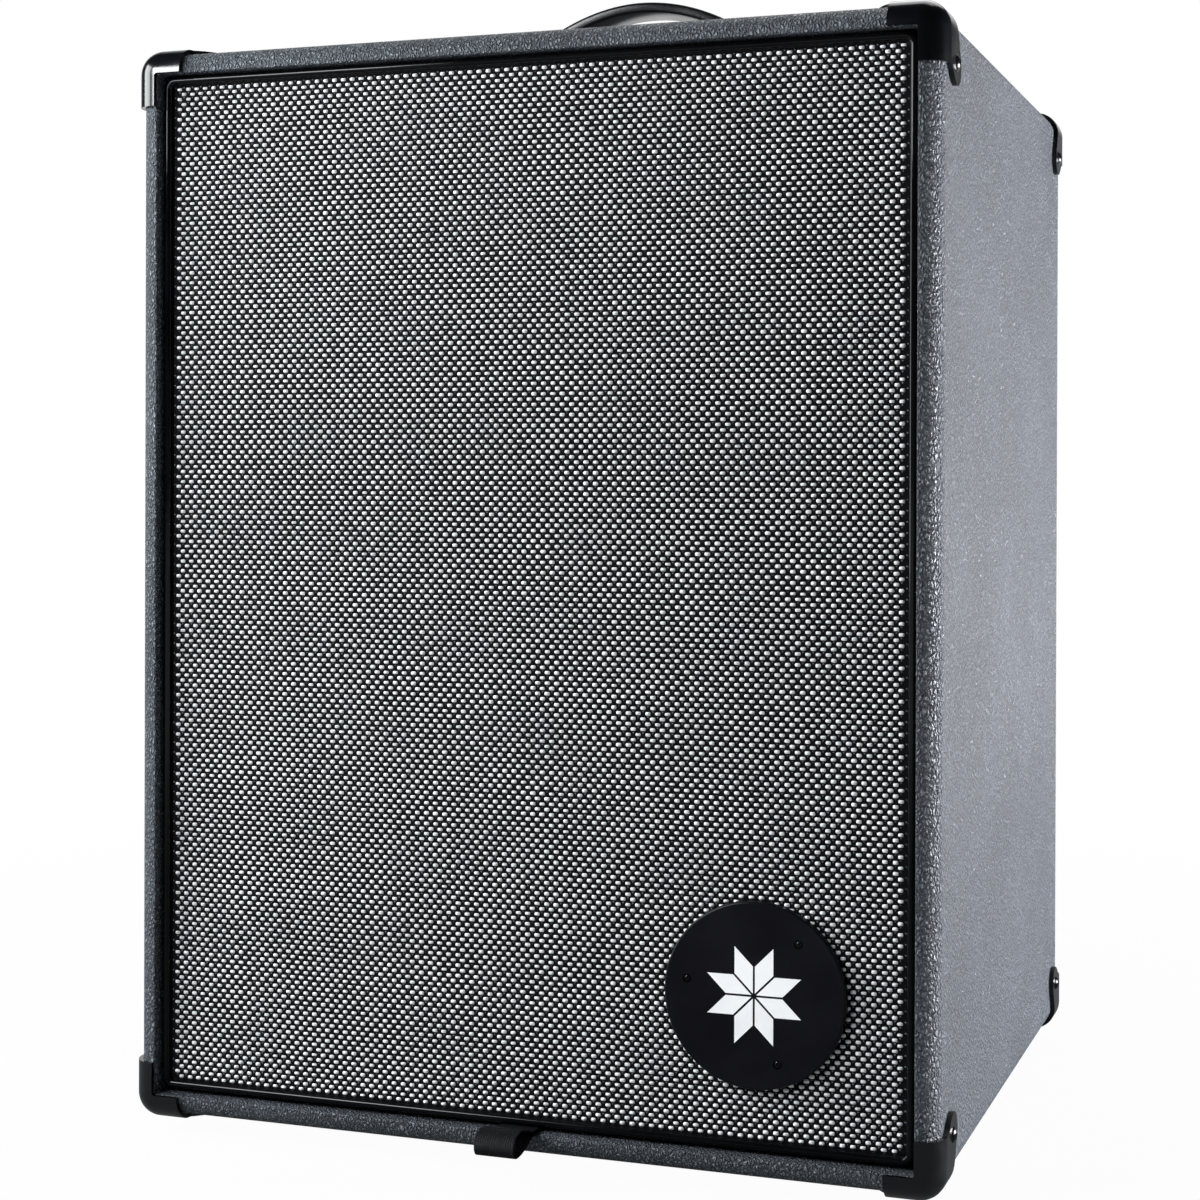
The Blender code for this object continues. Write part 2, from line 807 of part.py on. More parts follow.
def woofer_surround(name, place):
    """The rolled rubber edge between the cone and the basket's ledge."""
    rubber = 0.0008
    middle = 0.1072
    roll = 0.0056
    seat = 0.0038
    start = CONE_RADIUS + 0.0002
    top = [(start - 0.0035, seat - 0.0012 + rubber)]
    below = [(start - 0.0035, seat - 0.0012), (start + 0.0006, seat - 0.0012)]
    for step in range(4):
        turn = math.radians(180 - 60 * step)
        top.append((middle + roll * math.cos(turn), seat + rubber + roll * math.sin(turn)))
        if 0 < step < 3:
            inner = roll - rubber
            below.append((middle + inner * math.cos(turn), seat + rubber + inner * math.sin(turn)))
    below.append((middle + roll - rubber, seat))
    top.append((0.1154, seat + rubber))
    below.append((0.1154, seat))
    finish(lathe(name, top + below[::-1], place, TO_FRONT, WOOFER_SIDES), RUBBER)


def woofers():
    for level, (across, up) in (("upper", UPPER_WOOFER), ("lower", LOWER_WOOFER)):
        place = Vector((across, FRONT + BAFFLE_FACE, BASE + up))
        woofer_basket(f"{level}_woofer_basket", place)
        woofer_magnet(f"{level}_woofer_magnet", place)
        woofer_cone(f"{level}_woofer_cone", place)
        woofer_surround(f"{level}_woofer_surround", place)


def horn_ring(half, height, squareness, count=16):
    """A ring between a circle and a square: squareness 2 is round and more is squarer."""
    ring = []
    for n in range(count):
        turn = math.tau * (n + 0.5) / count
        across = math.cos(turn)
        up = math.sin(turn)
        reach = half / (abs(across) ** squareness + abs(up) ** squareness) ** (1 / squareness)
        ring.append((across * reach, up * reach, height))
    return ring


def horn():
    """A square flange and mouth that draw in to a round throat, with its driver behind."""
    wall = 0.0020
    place = (HORN[0], FRONT + BAFFLE_FACE, BASE + HORN[1])
    rings = [horn_ring(HORN_FLANGE, GAP, 14), horn_ring(HORN_FLANGE, 0.0040, 14)]
    steps = 4
    halves = []
    for step in range(steps + 1):
        share = step / steps
        half = HORN_THROAT + (HORN_MOUTH - HORN_THROAT) * (1 - share) ** 1.8
        halves.append((half, -HORN_DEPTH * share, 2 + 6 * (1 - share) ** 1.5))
    for half, height, squareness in halves:
        rings.append(horn_ring(half, height + (0.0040 if height == 0 else 0), squareness))
    for half, height, squareness in reversed(halves[1:]):
        rings.append(horn_ring(half + wall, height, squareness))
    rings.append(horn_ring(HORN_MOUTH + wall, GAP, 8))
    finish(loft("horn_flare", rings, True, place, TO_FRONT), BLACK_PLASTIC)
    face = -HORN_DEPTH - GAP
    outline = [
        (HORN_THROAT, face),
        (0.030, face),
        (0.030, face - 0.007),
        (0.043, face - 0.009),
        (0.044, face - 0.011),
        (0.044, face - 0.034),
        (0.040, face - 0.038),
        (0.0, face - 0.038),
        (0.0, face - 0.014),
        (HORN_THROAT, face - 0.012),
    ]
    finish(lathe("horn_driver", outline, place, TO_FRONT, 16), BLACK_METAL)


def port_tube():
    """A tuned port: a tube through the baffle with a rounded mouth."""
    wall = 0.0035
    outline = [
        (PORT_BORE, -PORT_LENGTH),
        (PORT_BORE + wall, -PORT_LENGTH),
        (PORT_BORE + wall, GAP),
        (PORT_BORE + 0.0120, GAP),
        (PORT_BORE + 0.0110, 0.0034),
        (PORT_BORE + 0.0062, 0.0034),
        (PORT_BORE + 0.0020, 0.0),
        (PORT_BORE, -0.0090),
    ]
    place = (PORT[0], FRONT + BAFFLE_FACE, BASE + PORT[1])
    finish(lathe("port_tube", outline, place, TO_FRONT, 20), BLACK_PLASTIC)


def crossover_board():
    """The filter for the horn: a board on four legs with a coil, capacitors and resistors."""
    low = INNER_LOW + GAP + 0.006
    middle = Vector((0.030, FRONT + 0.300, low))
    half = Vector((0.055, 0.036, 0))
    board = block("crossover_board", middle - half, middle + half + Vector((0, 0, 0.0020)))
    parts = []
    for across in (-0.049, 0.049):
        for along in (-0.030, 0.030):
            place = middle + Vector((across, along, 0))
            parts.append(cylinder("guide_filter_leg", 0.0035, -0.006, 0.001, place, segments=6))
    for n, across in enumerate((-0.006, 0.014, 0.034)):
        place = middle + Vector((across, 0.012, 0.0015))
        parts.append(cylinder(f"guide_filter_capacitor_{n}", 0.0075, 0, 0.026, place, segments=10))
    coil = [(0.008, 0.0), (0.0185, 0.0), (0.0185, 0.016), (0.008, 0.016)]
    parts.append(lathe("guide_filter_coil", coil, middle + Vector((-0.032, 0.004, 0.0015)), segments=14))
    for n, across in enumerate((0.000, 0.026)):
        start = middle + Vector((across, -0.026, 0.0015))
        parts.append(block(f"guide_filter_resistor_{n}", start, start + Vector((0.018, 0.008, 0.008))))
    add(board, parts)
    finish(board, CIRCUIT)


# Amplifier


def amp_chassis():
    """A folded tray, open at the back, with lips round its open top that carry the control plate."""
    lip = 0.008
    top = PLATE_TOP - PLATE - GAP
    front = FRONT + AMP_FRONT + GAP
    rear = REAR_PLATE_FACE - PLATE - GAP
    tray = block("amp_chassis", (-CHASSIS_HALF, front, AMP_FLOOR), (CHASSIS_HALF, rear, top))
    inside = block(
        "cut_chassis_inside",
        (SHEET - CHASSIS_HALF, front + SHEET, AMP_FLOOR + SHEET),
        (CHASSIS_HALF - SHEET, rear + 0.01, top - SHEET),
    )
    mouth = block(
        "cut_chassis_top",
        (lip - CHASSIS_HALF, front + lip, top - 0.01),
        (CHASSIS_HALF - lip, rear - lip, top + 0.01),
    )
    cut(tray, [inside, mouth])
    finish(tray, STEEL)


def knob_places():
    start = -KNOB_PITCH * (len(KNOB_NAMES) - 1) / 2
    return [start + KNOB_PITCH * n for n in range(len(KNOB_NAMES))]


def control_plate():
    """The steel plate at the bottom of the well, drilled for the controls."""
    plate = block(
        "control_plate",
        (-CHASSIS_HALF, FRONT + AMP_FRONT + GAP, PLATE_TOP - PLATE),
        (CHASSIS_HALF, REAR_PLATE_FACE - PLATE - GAP, PLATE_TOP),
    )
    row = FRONT + CONTROL_ROW
    drilled = [(across, 0.0036) for across in knob_places()]
    drilled += [(MUTE_X, 0.0049), (LAMP_X, 0.0028), (-SOCKET_X, 0.0049), (SOCKET_X, 0.0049)]
    holes = []
    for n, (across, radius) in enumerate(drilled):
        holes.append(cylinder(f"cut_plate_{n}", radius, -0.01, 0.01, (across, row, PLATE_TOP), segments=10))
    cut(plate, holes)
    finish(plate, ((0.02, 0.02, 0.022), 0.5, 0.3))


def control_board():
    """The circuit board under the control plate, with a round pot for each knob and a switch."""
    pot_top = PLATE_TOP - PLATE - GAP
    board_top = pot_top - 0.0085
    row = FRONT + CONTROL_ROW
    reach = 0.148
    board = block(
        "control_board",
        (-reach, row - 0.022, board_top - 0.0016),
        (reach, row + 0.022, board_top),
    )
    pots = []
    bores = []
    for n, across in enumerate(knob_places()):
        place = (across, row, board_top)
        height = pot_top - board_top
        pots.append(cylinder(f"guide_pot_{n}", 0.0080, -0.0008, height, place, segments=8))
        bores.append(cylinder(f"cut_pot_{n}", 0.0034, 0.0015, height + 0.01, place, segments=8))
    pots.append(cylinder("guide_mute_switch", 0.0045, -0.0008, 0.0025, (MUTE_X, row, board_top), segments=10))
    add(board, pots)
    cut(board, bores)
    finish(board, CIRCUIT)


def knob_mesh():
    """A fluted knob with a skirt, a pointer nib on the skirt, and the pot's shaft below."""
    count = 14
    shaft = 0.0030
    floor = 0.0008
    levels = [
        (shaft, -0.0085, 0),
        (shaft, floor, 0),
        (KNOB_SKIRT, floor, 0),
        (KNOB_SKIRT - 0.0006, 0.0030, 0),
        (KNOB_BODY, 0.0032, 0.0005),
        (KNOB_BODY - 0.0004, KNOB_HEIGHT - 0.0010, 0.0005),
        (KNOB_BODY - 0.0013, KNOB_HEIGHT, 0),
    ]
    bm = bmesh.new()
    rings = []
    for radius, height, flute in levels:
        ring = []
        for n in range(count):
            turn = math.tau * (n + 0.5) / count + math.pi / 2
            reach = radius - flute * (n % 2)
            ring.append(bm.verts.new((reach * math.cos(turn), reach * math.sin(turn), height)))
        rings.append(ring)
    bridge_rings(bm, rings, False)
    bm.faces.new(rings[0])
    bm.faces.new(rings[-1])
    bm.normal_update()
    bm.faces.ensure_lookup_table()
    nib = max(
        (face for face in bm.faces if floor < face.calc_center_median().z < 0.003),
        key=lambda face: face.calc_center_median().y + face.calc_center_median().z,
    )
    grown = bmesh.ops.extrude_face_region(bm, geom=[nib])
    moved = [item for item in grown["geom"] if isinstance(item, bmesh.types.BMVert)]
    bmesh.ops.delete(bm, geom=[nib], context="FACES_ONLY")
    bmesh.ops.translate(bm, vec=(0, 0.0016, 0), verts=moved)
    bmesh.ops.recalc_face_normals(bm, faces=bm.faces)
    mesh = bpy.data.meshes.new("knob")
    bm.to_mesh(mesh)
    bm.free()
    mesh.shade_smooth()
    mesh.set_sharp_from_angle(angle=math.radians(35))
    return mesh


def knobs():
    """Six knobs, each with its origin on its shaft's axis."""
    pattern = knob_mesh()
    for name, across in zip(KNOB_NAMES, knob_places()):
        knob = bpy.data.objects.new(name, pattern.copy())
        knob.location = (across, FRONT + CONTROL_ROW, PLATE_TOP)
        bpy.context.collection.objects.link(knob)
        finish(knob, BLACK_PLASTIC)


def mute_button():
    """A round push button with a collar under the plate that keeps it in."""
    outline = [
        (0.0, -0.0060),
        (0.0020, -0.0060),
        (0.0020, -0.0042),
        (0.0060, -0.0042),
        (0.0060, -PLATE - GAP),
        (0.0045, -PLATE - GAP),
        (0.0045, 0.0036),
        (0.0039, 0.0042),
        (0.0, 0.0042),
    ]
    place = (MUTE_X, FRONT + CONTROL_ROW, PLATE_TOP)
    finish(lathe("mute_button", outline, place, segments=12), ((0.45, 0.03, 0.03), 0.4, 0.0))


def power_lamp():
    outline = [
        (0.0, -0.0060),
        (0.0024, -0.0060),
        (0.0024, GAP),
        (0.0038, GAP),
        (0.0036, 0.0014),
        (0.0022, 0.0028),
        (0.0, 0.0032),
    ]
    place = (LAMP_X, FRONT + CONTROL_ROW, PLATE_TOP)
    finish(lathe("power_lamp", outline, place, segments=12), ((0.05, 0.25, 0.8), 0.15, 0.0))


def jack_sockets():
    """Turned sockets for jack plugs: a nut above the plate, a bush through it and a barrel below."""
    bore = 0.0033
    outline = [
        (bore, 0.0034),
        (0.0060, 0.0034),
        (0.0068, 0.0026),
        (0.0068, GAP),
        (0.0046, GAP),
        (0.0046, -PLATE - GAP),
        (0.0082, -PLATE - GAP),
        (0.0082, -0.0270),
        (0.0, -0.0270),
        (0.0, -0.0250),
        (bore, -0.0250),
    ]
    for name, across in (("input_socket", -SOCKET_X), ("phones_socket", SOCKET_X)):
        place = (across, FRONT + CONTROL_ROW, PLATE_TOP)
        finish(lathe(name, outline, place, segments=12), BLACK_PLASTIC)


# Rear of the amplifier

REAR_MIDDLE = AMP_FLOOR + AMP_HEIGHT / 2


def rear_plate():
    """The steel plate that closes the amplifier's back, cut for the sockets and slotted for the fan."""
    side = INNER_HALF - GAP
    plate = block(
        "rear_plate",
        (-side, REAR_PLATE_FACE - PLATE, AMP_FLOOR),
        (side, REAR_PLATE_FACE, INNER_HIGH - GAP),
    )
    inlet = (0.0225, 0.0335)
    holes = [
        block(
            "cut_rear_inlet",
            (INLET_X - inlet[0], REAR_PLATE_FACE - 0.01, REAR_MIDDLE - inlet[1]),
            (INLET_X + inlet[0], REAR_PLATE_FACE + 0.01, REAR_MIDDLE + inlet[1]),
        )
    ]
    for n, across in enumerate(OUTLET_X):
        place = (across, REAR_PLATE_FACE, REAR_MIDDLE)
        holes.append(cylinder(f"cut_rear_outlet_{n}", 0.0128, -0.01, 0.01, place, TO_BACK, 20))
    slot_half = 0.0017
    for n in range(7):
        up = REAR_MIDDLE + 0.0072 * (n - 3)
        reach = math.sqrt(0.0270**2 - (up - REAR_MIDDLE) ** 2)
        holes.append(
            block(
                f"cut_rear_slot_{n}",
                (FAN_X - reach, REAR_PLATE_FACE - 0.01, up - slot_half),
                (FAN_X + reach, REAR_PLATE_FACE + 0.01, up + slot_half),
            )
        )
    cut(plate, holes)
    finish(plate, ((0.02, 0.02, 0.022), 0.5, 0.3))


ROCKER_UP = 0.0165
ROCKER_HALF = (0.0095, 0.0120)
INLET_DOWN = -0.0150


def power_inlet():
    """A mains inlet and switch housing in one: a flange outside, a plug well with three pins, a rocker well."""
    face = REAR_PLATE_FACE
    housing = block(
        "power_inlet",
        (INLET_X - 0.0250, face + GAP, REAR_MIDDLE - 0.0365),
        (INLET_X + 0.0250, face + 0.0030, REAR_MIDDLE + 0.0365),
    )
    body = block(
        "guide_inlet_body",
        (INLET_X - 0.0220, face - 0.0220, REAR_MIDDLE - 0.0330),
        (INLET_X + 0.0220, face + 0.0020, REAR_MIDDLE + 0.0330),
    )
    well_up = REAR_MIDDLE + INLET_DOWN
    well = block(
        "cut_inlet_well",
        (INLET_X - 0.0122, face - 0.0170, well_up - 0.0084),
        (INLET_X + 0.0122, face + 0.01, well_up + 0.0084),
    )
    rocker_up = REAR_MIDDLE + ROCKER_UP
    rocker_well = block(
        "cut_rocker_well",
        (INLET_X - ROCKER_HALF[0] - 0.0005, face - 0.0120, rocker_up - ROCKER_HALF[1] - 0.0010),
        (INLET_X + ROCKER_HALF[0] + 0.0005, face + 0.01, rocker_up + ROCKER_HALF[1] + 0.0010),
    )
    pins = []
    for n, (across, up) in enumerate(((-0.0070, -0.0020), (0.0070, -0.0020), (0.0, 0.0040))):
        pins.append(
            block(
                f"guide_inlet_pin_{n}",
                (INLET_X + across - 0.0010, face - 0.0180, well_up + up - 0.0018),
                (INLET_X + across + 0.0010, face - 0.0030, well_up + up + 0.0018),
            )
        )
    add(housing, [body])
    cut(housing, [well, rocker_well])
    add(housing, pins)
    finish(housing, BLACK_PLASTIC)


def power_rocker():
    """The mains rocker, tilted to its off side, with its origin on its pivot."""
    half = ROCKER_HALF[0]
    reach = ROCKER_HALF[1]
    outline = [
        (0.0042, -reach + 0.0010),
        (0.0024, 0.0),
        (0.0042, reach - 0.0010),
        (-0.0030, reach - 0.0010),
        (-0.0068, 0.0035),
        (-0.0068, -0.0035),
        (-0.0030, -reach + 0.0010),
    ]
    place = (INLET_X, REAR_PLATE_FACE - 0.0010, REAR_MIDDLE + ROCKER_UP)
    rocker = prism("power_rocker", outline, -half, half, "X", place)
    rocker.rotation_euler = (math.radians(-8), 0, 0)
    bevel(rocker, 0.0005, 1)
    finish(rocker, ((0.30, 0.02, 0.02), 0.35, 0.0))


def speaker_outlet():
    """A locking outlet for an extra cabinet: a round core in a ring-shaped well."""
    outline = [
        (0.0, 0.0022),
        (0.0050, 0.0022),
        (0.0058, 0.0015),
        (0.0058, -0.0180),
        (0.0112, -0.0180),
        (0.0112, 0.0020),
        (0.0118, 0.0032),
        (0.0150, 0.0032),
        (0.0156, 0.0024),
        (0.0156, GAP),
        (0.0122, GAP),
        (0.0122, -0.0210),
        (0.0, -0.0210),
    ]
    place = (OUTLET_X[0], REAR_PLATE_FACE, REAR_MIDDLE)
    finish(lathe("speaker_outlet", outline, place, TO_BACK, 12), BLACK_PLASTIC)


def line_outlet():
    """A balanced line outlet: a round well with three pins."""
    outline = [
        (0.0, -0.0160),
        (0.0094, -0.0160),
        (0.0094, 0.0020),
        (0.0104, 0.0032),
        (0.0150, 0.0032),
        (0.0156, 0.0024),
        (0.0156, GAP),
        (0.0122, GAP),
        (0.0122, -0.0210),
        (0.0, -0.0210),
    ]
    place = Vector((OUTLET_X[1], REAR_PLATE_FACE, REAR_MIDDLE))
    outlet = lathe("line_outlet", outline, place, TO_BACK, 12)
    pins = []
    for n in range(3):
        turn = math.radians(30 + 120 * n)
        spot = place + Vector((0.0050 * math.cos(turn), 0, 0.0050 * math.sin(turn)))
        pins.append(cylinder(f"guide_line_pin_{n}", 0.0012, -0.0170, -0.0040, spot, TO_BACK, 6))
    add(outlet, pins)
    finish(outlet, BLACK_PLASTIC)


FAN_DEPTH = 0.022


def fan_frame():
    """A square fan housing with a round duct, and a motor seat on four arms at its inner side."""
    face = REAR_PLATE_FACE - PLATE - GAP
    frame = block(
        "fan_frame",
        (FAN_X - FAN_HALF, face - FAN_DEPTH, REAR_MIDDLE - FAN_HALF),
        (FAN_X + FAN_HALF, face, REAR_MIDDLE + FAN_HALF),
    )
    place = (FAN_X, face, REAR_MIDDLE)
    duct = cylinder("cut_fan_duct", FAN_BORE, -0.05, 0.01, place, TO_BACK, 24)
    arms = []
    for n in range(2):
        arm = block(f"guide_fan_arm_{n}", (-0.0290, -0.0015, -0.0022), (0.0290, 0.0015, 0.0022))
        arm.location = (FAN_X, face - FAN_DEPTH + 0.0015, REAR_MIDDLE)
        arm.rotation_euler = (0, math.radians(45 + 90 * n), 0)
        arms.append(arm)
    seat = cylinder("guide_fan_seat", 0.0120, -FAN_DEPTH, -FAN_DEPTH + 0.0030, place, TO_BACK, 16)
    spindle = cylinder("guide_fan_spindle", 0.0016, -FAN_DEPTH, -0.0070, place, TO_BACK, 8)
    cut(frame, [duct])
    add(frame, arms + [seat, spindle])
    finish(frame, BLACK_PLASTIC)


def fan_rotor():
    """Hub and seven pitched blades, with its origin on the spindle's axis."""
    face = REAR_PLATE_FACE - PLATE - GAP
    low = -FAN_DEPTH + 0.0035
    high = -0.0030
    outline = [
        (0.0022, low),
        (0.0118, low),
        (0.0118, high - 0.0010),
        (0.0108, high),
        (0.0, high),
        (0.0, -0.0060),
        (0.0022, -0.0060),
    ]
    place = Vector((FAN_X, face, REAR_MIDDLE))
    rotor = lathe("fan_rotor", outline, place, TO_BACK, 16)
    blades = []
    stand = Matrix.Translation(place) @ Euler(TO_BACK).to_matrix().to_4x4()
    for n in range(7):
        blade = block(f"guide_fan_blade_{n}", (0.0110, -0.0006, -0.0072), (0.0262, 0.0006, 0.0072))
        pitch = Matrix.Rotation(math.radians(38), 4, "X")
        turn = Matrix.Rotation(math.tau * n / 7, 4, "Z")
        middle = Matrix.Translation((blade.location.x, 0, (low + high) / 2))
        blade.matrix_world = stand @ turn @ middle @ pitch
        blades.append(blade)
    add(rotor, blades)
    finish(rotor, BLACK_PLASTIC)


def heat_sink():
    """An extruded comb of fins on the chassis floor, in the fan's draught."""
    count = 9
    pitch = 0.0065
    fin = 0.0022
    height = 0.040
    base = 0.004
    outline = [(0.0, 0.0)]
    width = pitch * (count - 1) + fin
    outline.append((width, 0.0))
    for n in reversed(range(count)):
        start = pitch * n
        outline.append((start + fin, height))
        outline.append((start, height))
        if n:
            outline.append((start, base))
            outline.append((start - pitch + fin, base))
    front = FRONT + AMP_FRONT + 0.030
    place = (FAN_X - width / 2, 0, AMP_FLOOR + SHEET + GAP)
    sink = prism("heat_sink", outline, front, front + 0.060, "Y", place)
    finish(sink, STEEL)


def power_supply_board():
    """The mains board on four legs, with its transformer ring, capacitors and a choke."""
    low = AMP_FLOOR + SHEET + GAP + 0.006
    middle = Vector((-0.060, FRONT + AMP_FRONT + 0.060, low))
    half = Vector((0.080, 0.042, 0))
    board = block("power_supply_board", middle - half, middle + half + Vector((0, 0, 0.0016)))
    parts = []
    for across in (-0.074, 0.074):
        for along in (-0.036, 0.036):
            place = middle + Vector((across, along, 0))
            parts.append(cylinder("guide_supply_leg", 0.0035, -0.006, 0.001, place, segments=6))
    ring = [(0.010, 0.0), (0.027, 0.0), (0.028, 0.018), (0.025, 0.022), (0.010, 0.022)]
    parts.append(lathe("guide_supply_ring", ring, middle + Vector((-0.040, 0.0, 0.0010)), segments=16))
    for n, across in enumerate((0.010, 0.036)):
        place = middle + Vector((across, -0.020, 0.0010))
        parts.append(cylinder(f"guide_supply_capacitor_{n}", 0.0110, 0, 0.034, place, segments=12))
    start = middle + Vector((0.004, 0.010, 0.0010))
    parts.append(block("guide_supply_choke", start, start + Vector((0.030, 0.022, 0.020))))
    add(board, parts)
    finish(board, CIRCUIT)


def build():
    clear_scene()
    cabinet_shell()
    baffle_board()
    rear_panel()
    amplifier_boards()
    metal_corners()
    feet()
    handle_strap()
    handle_caps()
    grille_frame()
    grille_cloth()
    grille_piping()
    grille_badge()
    pull_tab()
    woofers()
    horn()
    port_tube()
    crossover_board()
    amp_chassis()
    control_plate()
    control_board()
    knobs()
    mute_button()
    power_lamp()
    jack_sockets()
    rear_plate()
    power_inlet()
    power_rocker()
    speaker_outlet()
    line_outlet()
    fan_frame()
    fan_rotor()
    heat_sink()
    power_supply_board()


build()
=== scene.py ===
# %% [markdown]
# A bass combo amplifier, dressed for the camera. The imported model from the workshop comes in first as a
# fixed frame: its pieces, their places and their joints are right already. Each step below either gives one
# of those pieces its real surface, or models a finer piece that stands in the same place.

import json
import math

import bmesh
import bpy
import numpy as np
from mathutils import Matrix, Vector

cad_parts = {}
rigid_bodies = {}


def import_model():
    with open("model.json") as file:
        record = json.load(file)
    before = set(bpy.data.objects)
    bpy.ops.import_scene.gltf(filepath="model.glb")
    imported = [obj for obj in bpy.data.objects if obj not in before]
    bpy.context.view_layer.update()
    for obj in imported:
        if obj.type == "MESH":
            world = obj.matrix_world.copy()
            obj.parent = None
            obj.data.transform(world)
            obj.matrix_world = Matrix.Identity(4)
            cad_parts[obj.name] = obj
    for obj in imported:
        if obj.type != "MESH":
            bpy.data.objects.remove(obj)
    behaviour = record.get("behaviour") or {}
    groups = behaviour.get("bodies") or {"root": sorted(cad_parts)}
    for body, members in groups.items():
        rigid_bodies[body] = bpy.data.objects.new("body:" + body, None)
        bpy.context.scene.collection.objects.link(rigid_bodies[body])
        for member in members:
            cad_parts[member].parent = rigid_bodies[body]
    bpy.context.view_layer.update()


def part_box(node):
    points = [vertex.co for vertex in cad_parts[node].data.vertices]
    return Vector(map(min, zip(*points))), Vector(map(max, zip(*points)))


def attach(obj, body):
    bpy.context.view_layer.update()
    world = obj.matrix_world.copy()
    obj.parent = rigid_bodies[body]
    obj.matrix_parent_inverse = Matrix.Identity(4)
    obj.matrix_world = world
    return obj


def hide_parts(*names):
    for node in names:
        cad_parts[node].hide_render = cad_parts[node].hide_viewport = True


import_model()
scene = bpy.context.scene
scene.view_settings.view_transform = "Standard"

# %% [markdown]
# The main sizes are read from the frame where a node gives them, and written down in metres where a
# finer piece needs its own. The cabinet's front faces the viewer, along -Y, and Z is up.

# %% Main sizes
shell_low, shell_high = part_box("cabinet_shell")
HALF = shell_high[0]
FRONT = shell_low[1]
BACK = shell_high[1]
BASE = shell_low[2]
TOP = shell_high[2]
MIDDLE = Vector((0, (FRONT + BACK) / 2, (BASE + TOP) / 2))
WALL = 0.012
ROUND = 0.0116
PROUD, SHEET = 0.0028, 0.0024
print("cabinet", [round(v * 1000, 1) for v in (2 * HALF, BACK - FRONT, TOP - BASE)], "mm")

# %% [markdown]
# The camera stands a little to the right of the cabinet and looks level, so that upright edges stay
# upright. Its place and lens come from the straight edges in the photograph. A small vertical shift frames
# the object without tilting the lens, as a view camera does.

# %% Camera
YAW, PITCH, ROLL = 0.341812333, -0.00359547005, 0.00309750986
LENS, SENSOR, SHIFT = 67.338, 36, -0.0982943
CAMERA_PLACE = Vector((0.44414, FRONT - 1.11030, BASE + 0.36320))
forward = Vector((-math.sin(YAW) * math.cos(PITCH), math.cos(YAW) * math.cos(PITCH), math.sin(PITCH)))
level = forward.cross(Vector((0, 0, 1))).normalized()
upright = level.cross(forward)
right_way = math.cos(ROLL) * level + math.sin(ROLL) * upright
up_way = -math.sin(ROLL) * level + math.cos(ROLL) * upright
bpy.ops.object.camera_add()
camera = bpy.context.object
camera.name = "camera"
camera.data.sensor_fit = "HORIZONTAL"
camera.data.sensor_width = SENSOR
camera.data.lens = LENS
camera.data.shift_y = SHIFT
stand = Matrix((right_way, up_way, -forward)).transposed().to_4x4()
stand.translation = CAMERA_PLACE
camera.matrix_world = stand
scene.camera = camera
print("camera at", [round(v, 3) for v in camera.location], "lens", round(camera.data.lens, 1), "mm")

# %% [markdown]
# Every piece below is made with the same few habits: clear the selection, make one object active, work on
# it, and leave it with its origin in the world's origin. These helpers keep those habits in one place.

# %% Workshop helpers
def clear_selection():
    if bpy.context.object is not None and bpy.context.object.mode != "OBJECT":
        bpy.ops.object.mode_set(mode="OBJECT")
    bpy.ops.object.select_all(action="DESELECT")


def pick(piece):
    """Make one object the only selected one, and the active one."""
    clear_selection()
    piece.select_set(True)
    bpy.context.view_layer.objects.active = piece
    return piece


def settle(piece):
    """Write the object's place, turn and scale into its mesh."""
    pick(piece)
    bpy.ops.object.transform_apply(location=True, rotation=True, scale=True)
    return piece


def add_box(name, low, high):
    """A cube primitive stretched between two corners."""
    clear_selection()
    low, high = Vector(low), Vector(high)
    bpy.ops.mesh.primitive_cube_add(size=1, location=(low + high) / 2)
    piece = bpy.context.object
    piece.name = name
    piece.scale = high - low
    return settle(piece)


def add_disc(name, radius, low, high, place, sides):
    """A cylinder primitive between two heights of its own axis, stood at a place."""
    clear_selection()
    bpy.ops.mesh.primitive_cylinder_add(vertices=sides, radius=radius, depth=high - low, location=(0, 0, 0))
    piece = bpy.context.object
    piece.name = name
    for vertex in piece.data.vertices:
        vertex.co.z += (low + high) / 2
    piece.location = place
    return settle(piece)


def apply_modifier(piece, kind, **values):
    """Add a modifier, set its values and apply it at once."""
    pick(piece)
    change = piece.modifiers.new(kind.lower(), kind)
    for key, value in values.items():
        setattr(change, key, value)
    bpy.ops.object.modifier_apply(modifier=change.name)
    return piece


def combine(piece, others, operation):
    """Cut away, add or keep the overlap of other objects, which are used up."""
    for other in others:
        apply_modifier(piece, "BOOLEAN", operation=operation, solver="EXACT", object=other)
        bpy.data.objects.remove(other, do_unlink=True)
    return piece


def round_edges(piece, width, segments=3, angle=35):
    return apply_modifier(
        piece,
        "BEVEL",
        width=width,
        segments=segments,
        limit_method="ANGLE",
        angle_limit=math.radians(angle),
    )


def edit(piece, kind="EDGE"):
    """Enter edit mode with nothing selected."""
    pick(piece)
    bpy.ops.object.mode_set(mode="EDIT")
    bpy.ops.mesh.select_mode(type=kind)
    bpy.ops.mesh.select_all(action="DESELECT")
    return bmesh.from_edit_mesh(piece.data)


def leave_edit(piece):
    bmesh.update_edit_mesh(piece.data)
    bpy.ops.object.mode_set(mode="OBJECT")
    return piece


def tidy_faces(piece, distance=1e-6):
    """Merge doubled points and turn every face outwards."""
    edit(piece, "VERT")
    bpy.ops.mesh.select_all(action="SELECT")
    bpy.ops.mesh.remove_doubles(threshold=distance)
    bpy.ops.mesh.normals_make_consistent(inside=False)
    return leave_edit(piece)


def soften(piece, angle=35, weighted=True):
    """Smooth shading that keeps sharp edges sharp and flat faces flat."""
    pick(piece)
    bpy.ops.object.shade_smooth_by_angle(angle=math.radians(angle))
    if weighted:
        apply_modifier(piece, "WEIGHTED_NORMAL", keep_sharp=True, weight=100)
    return piece


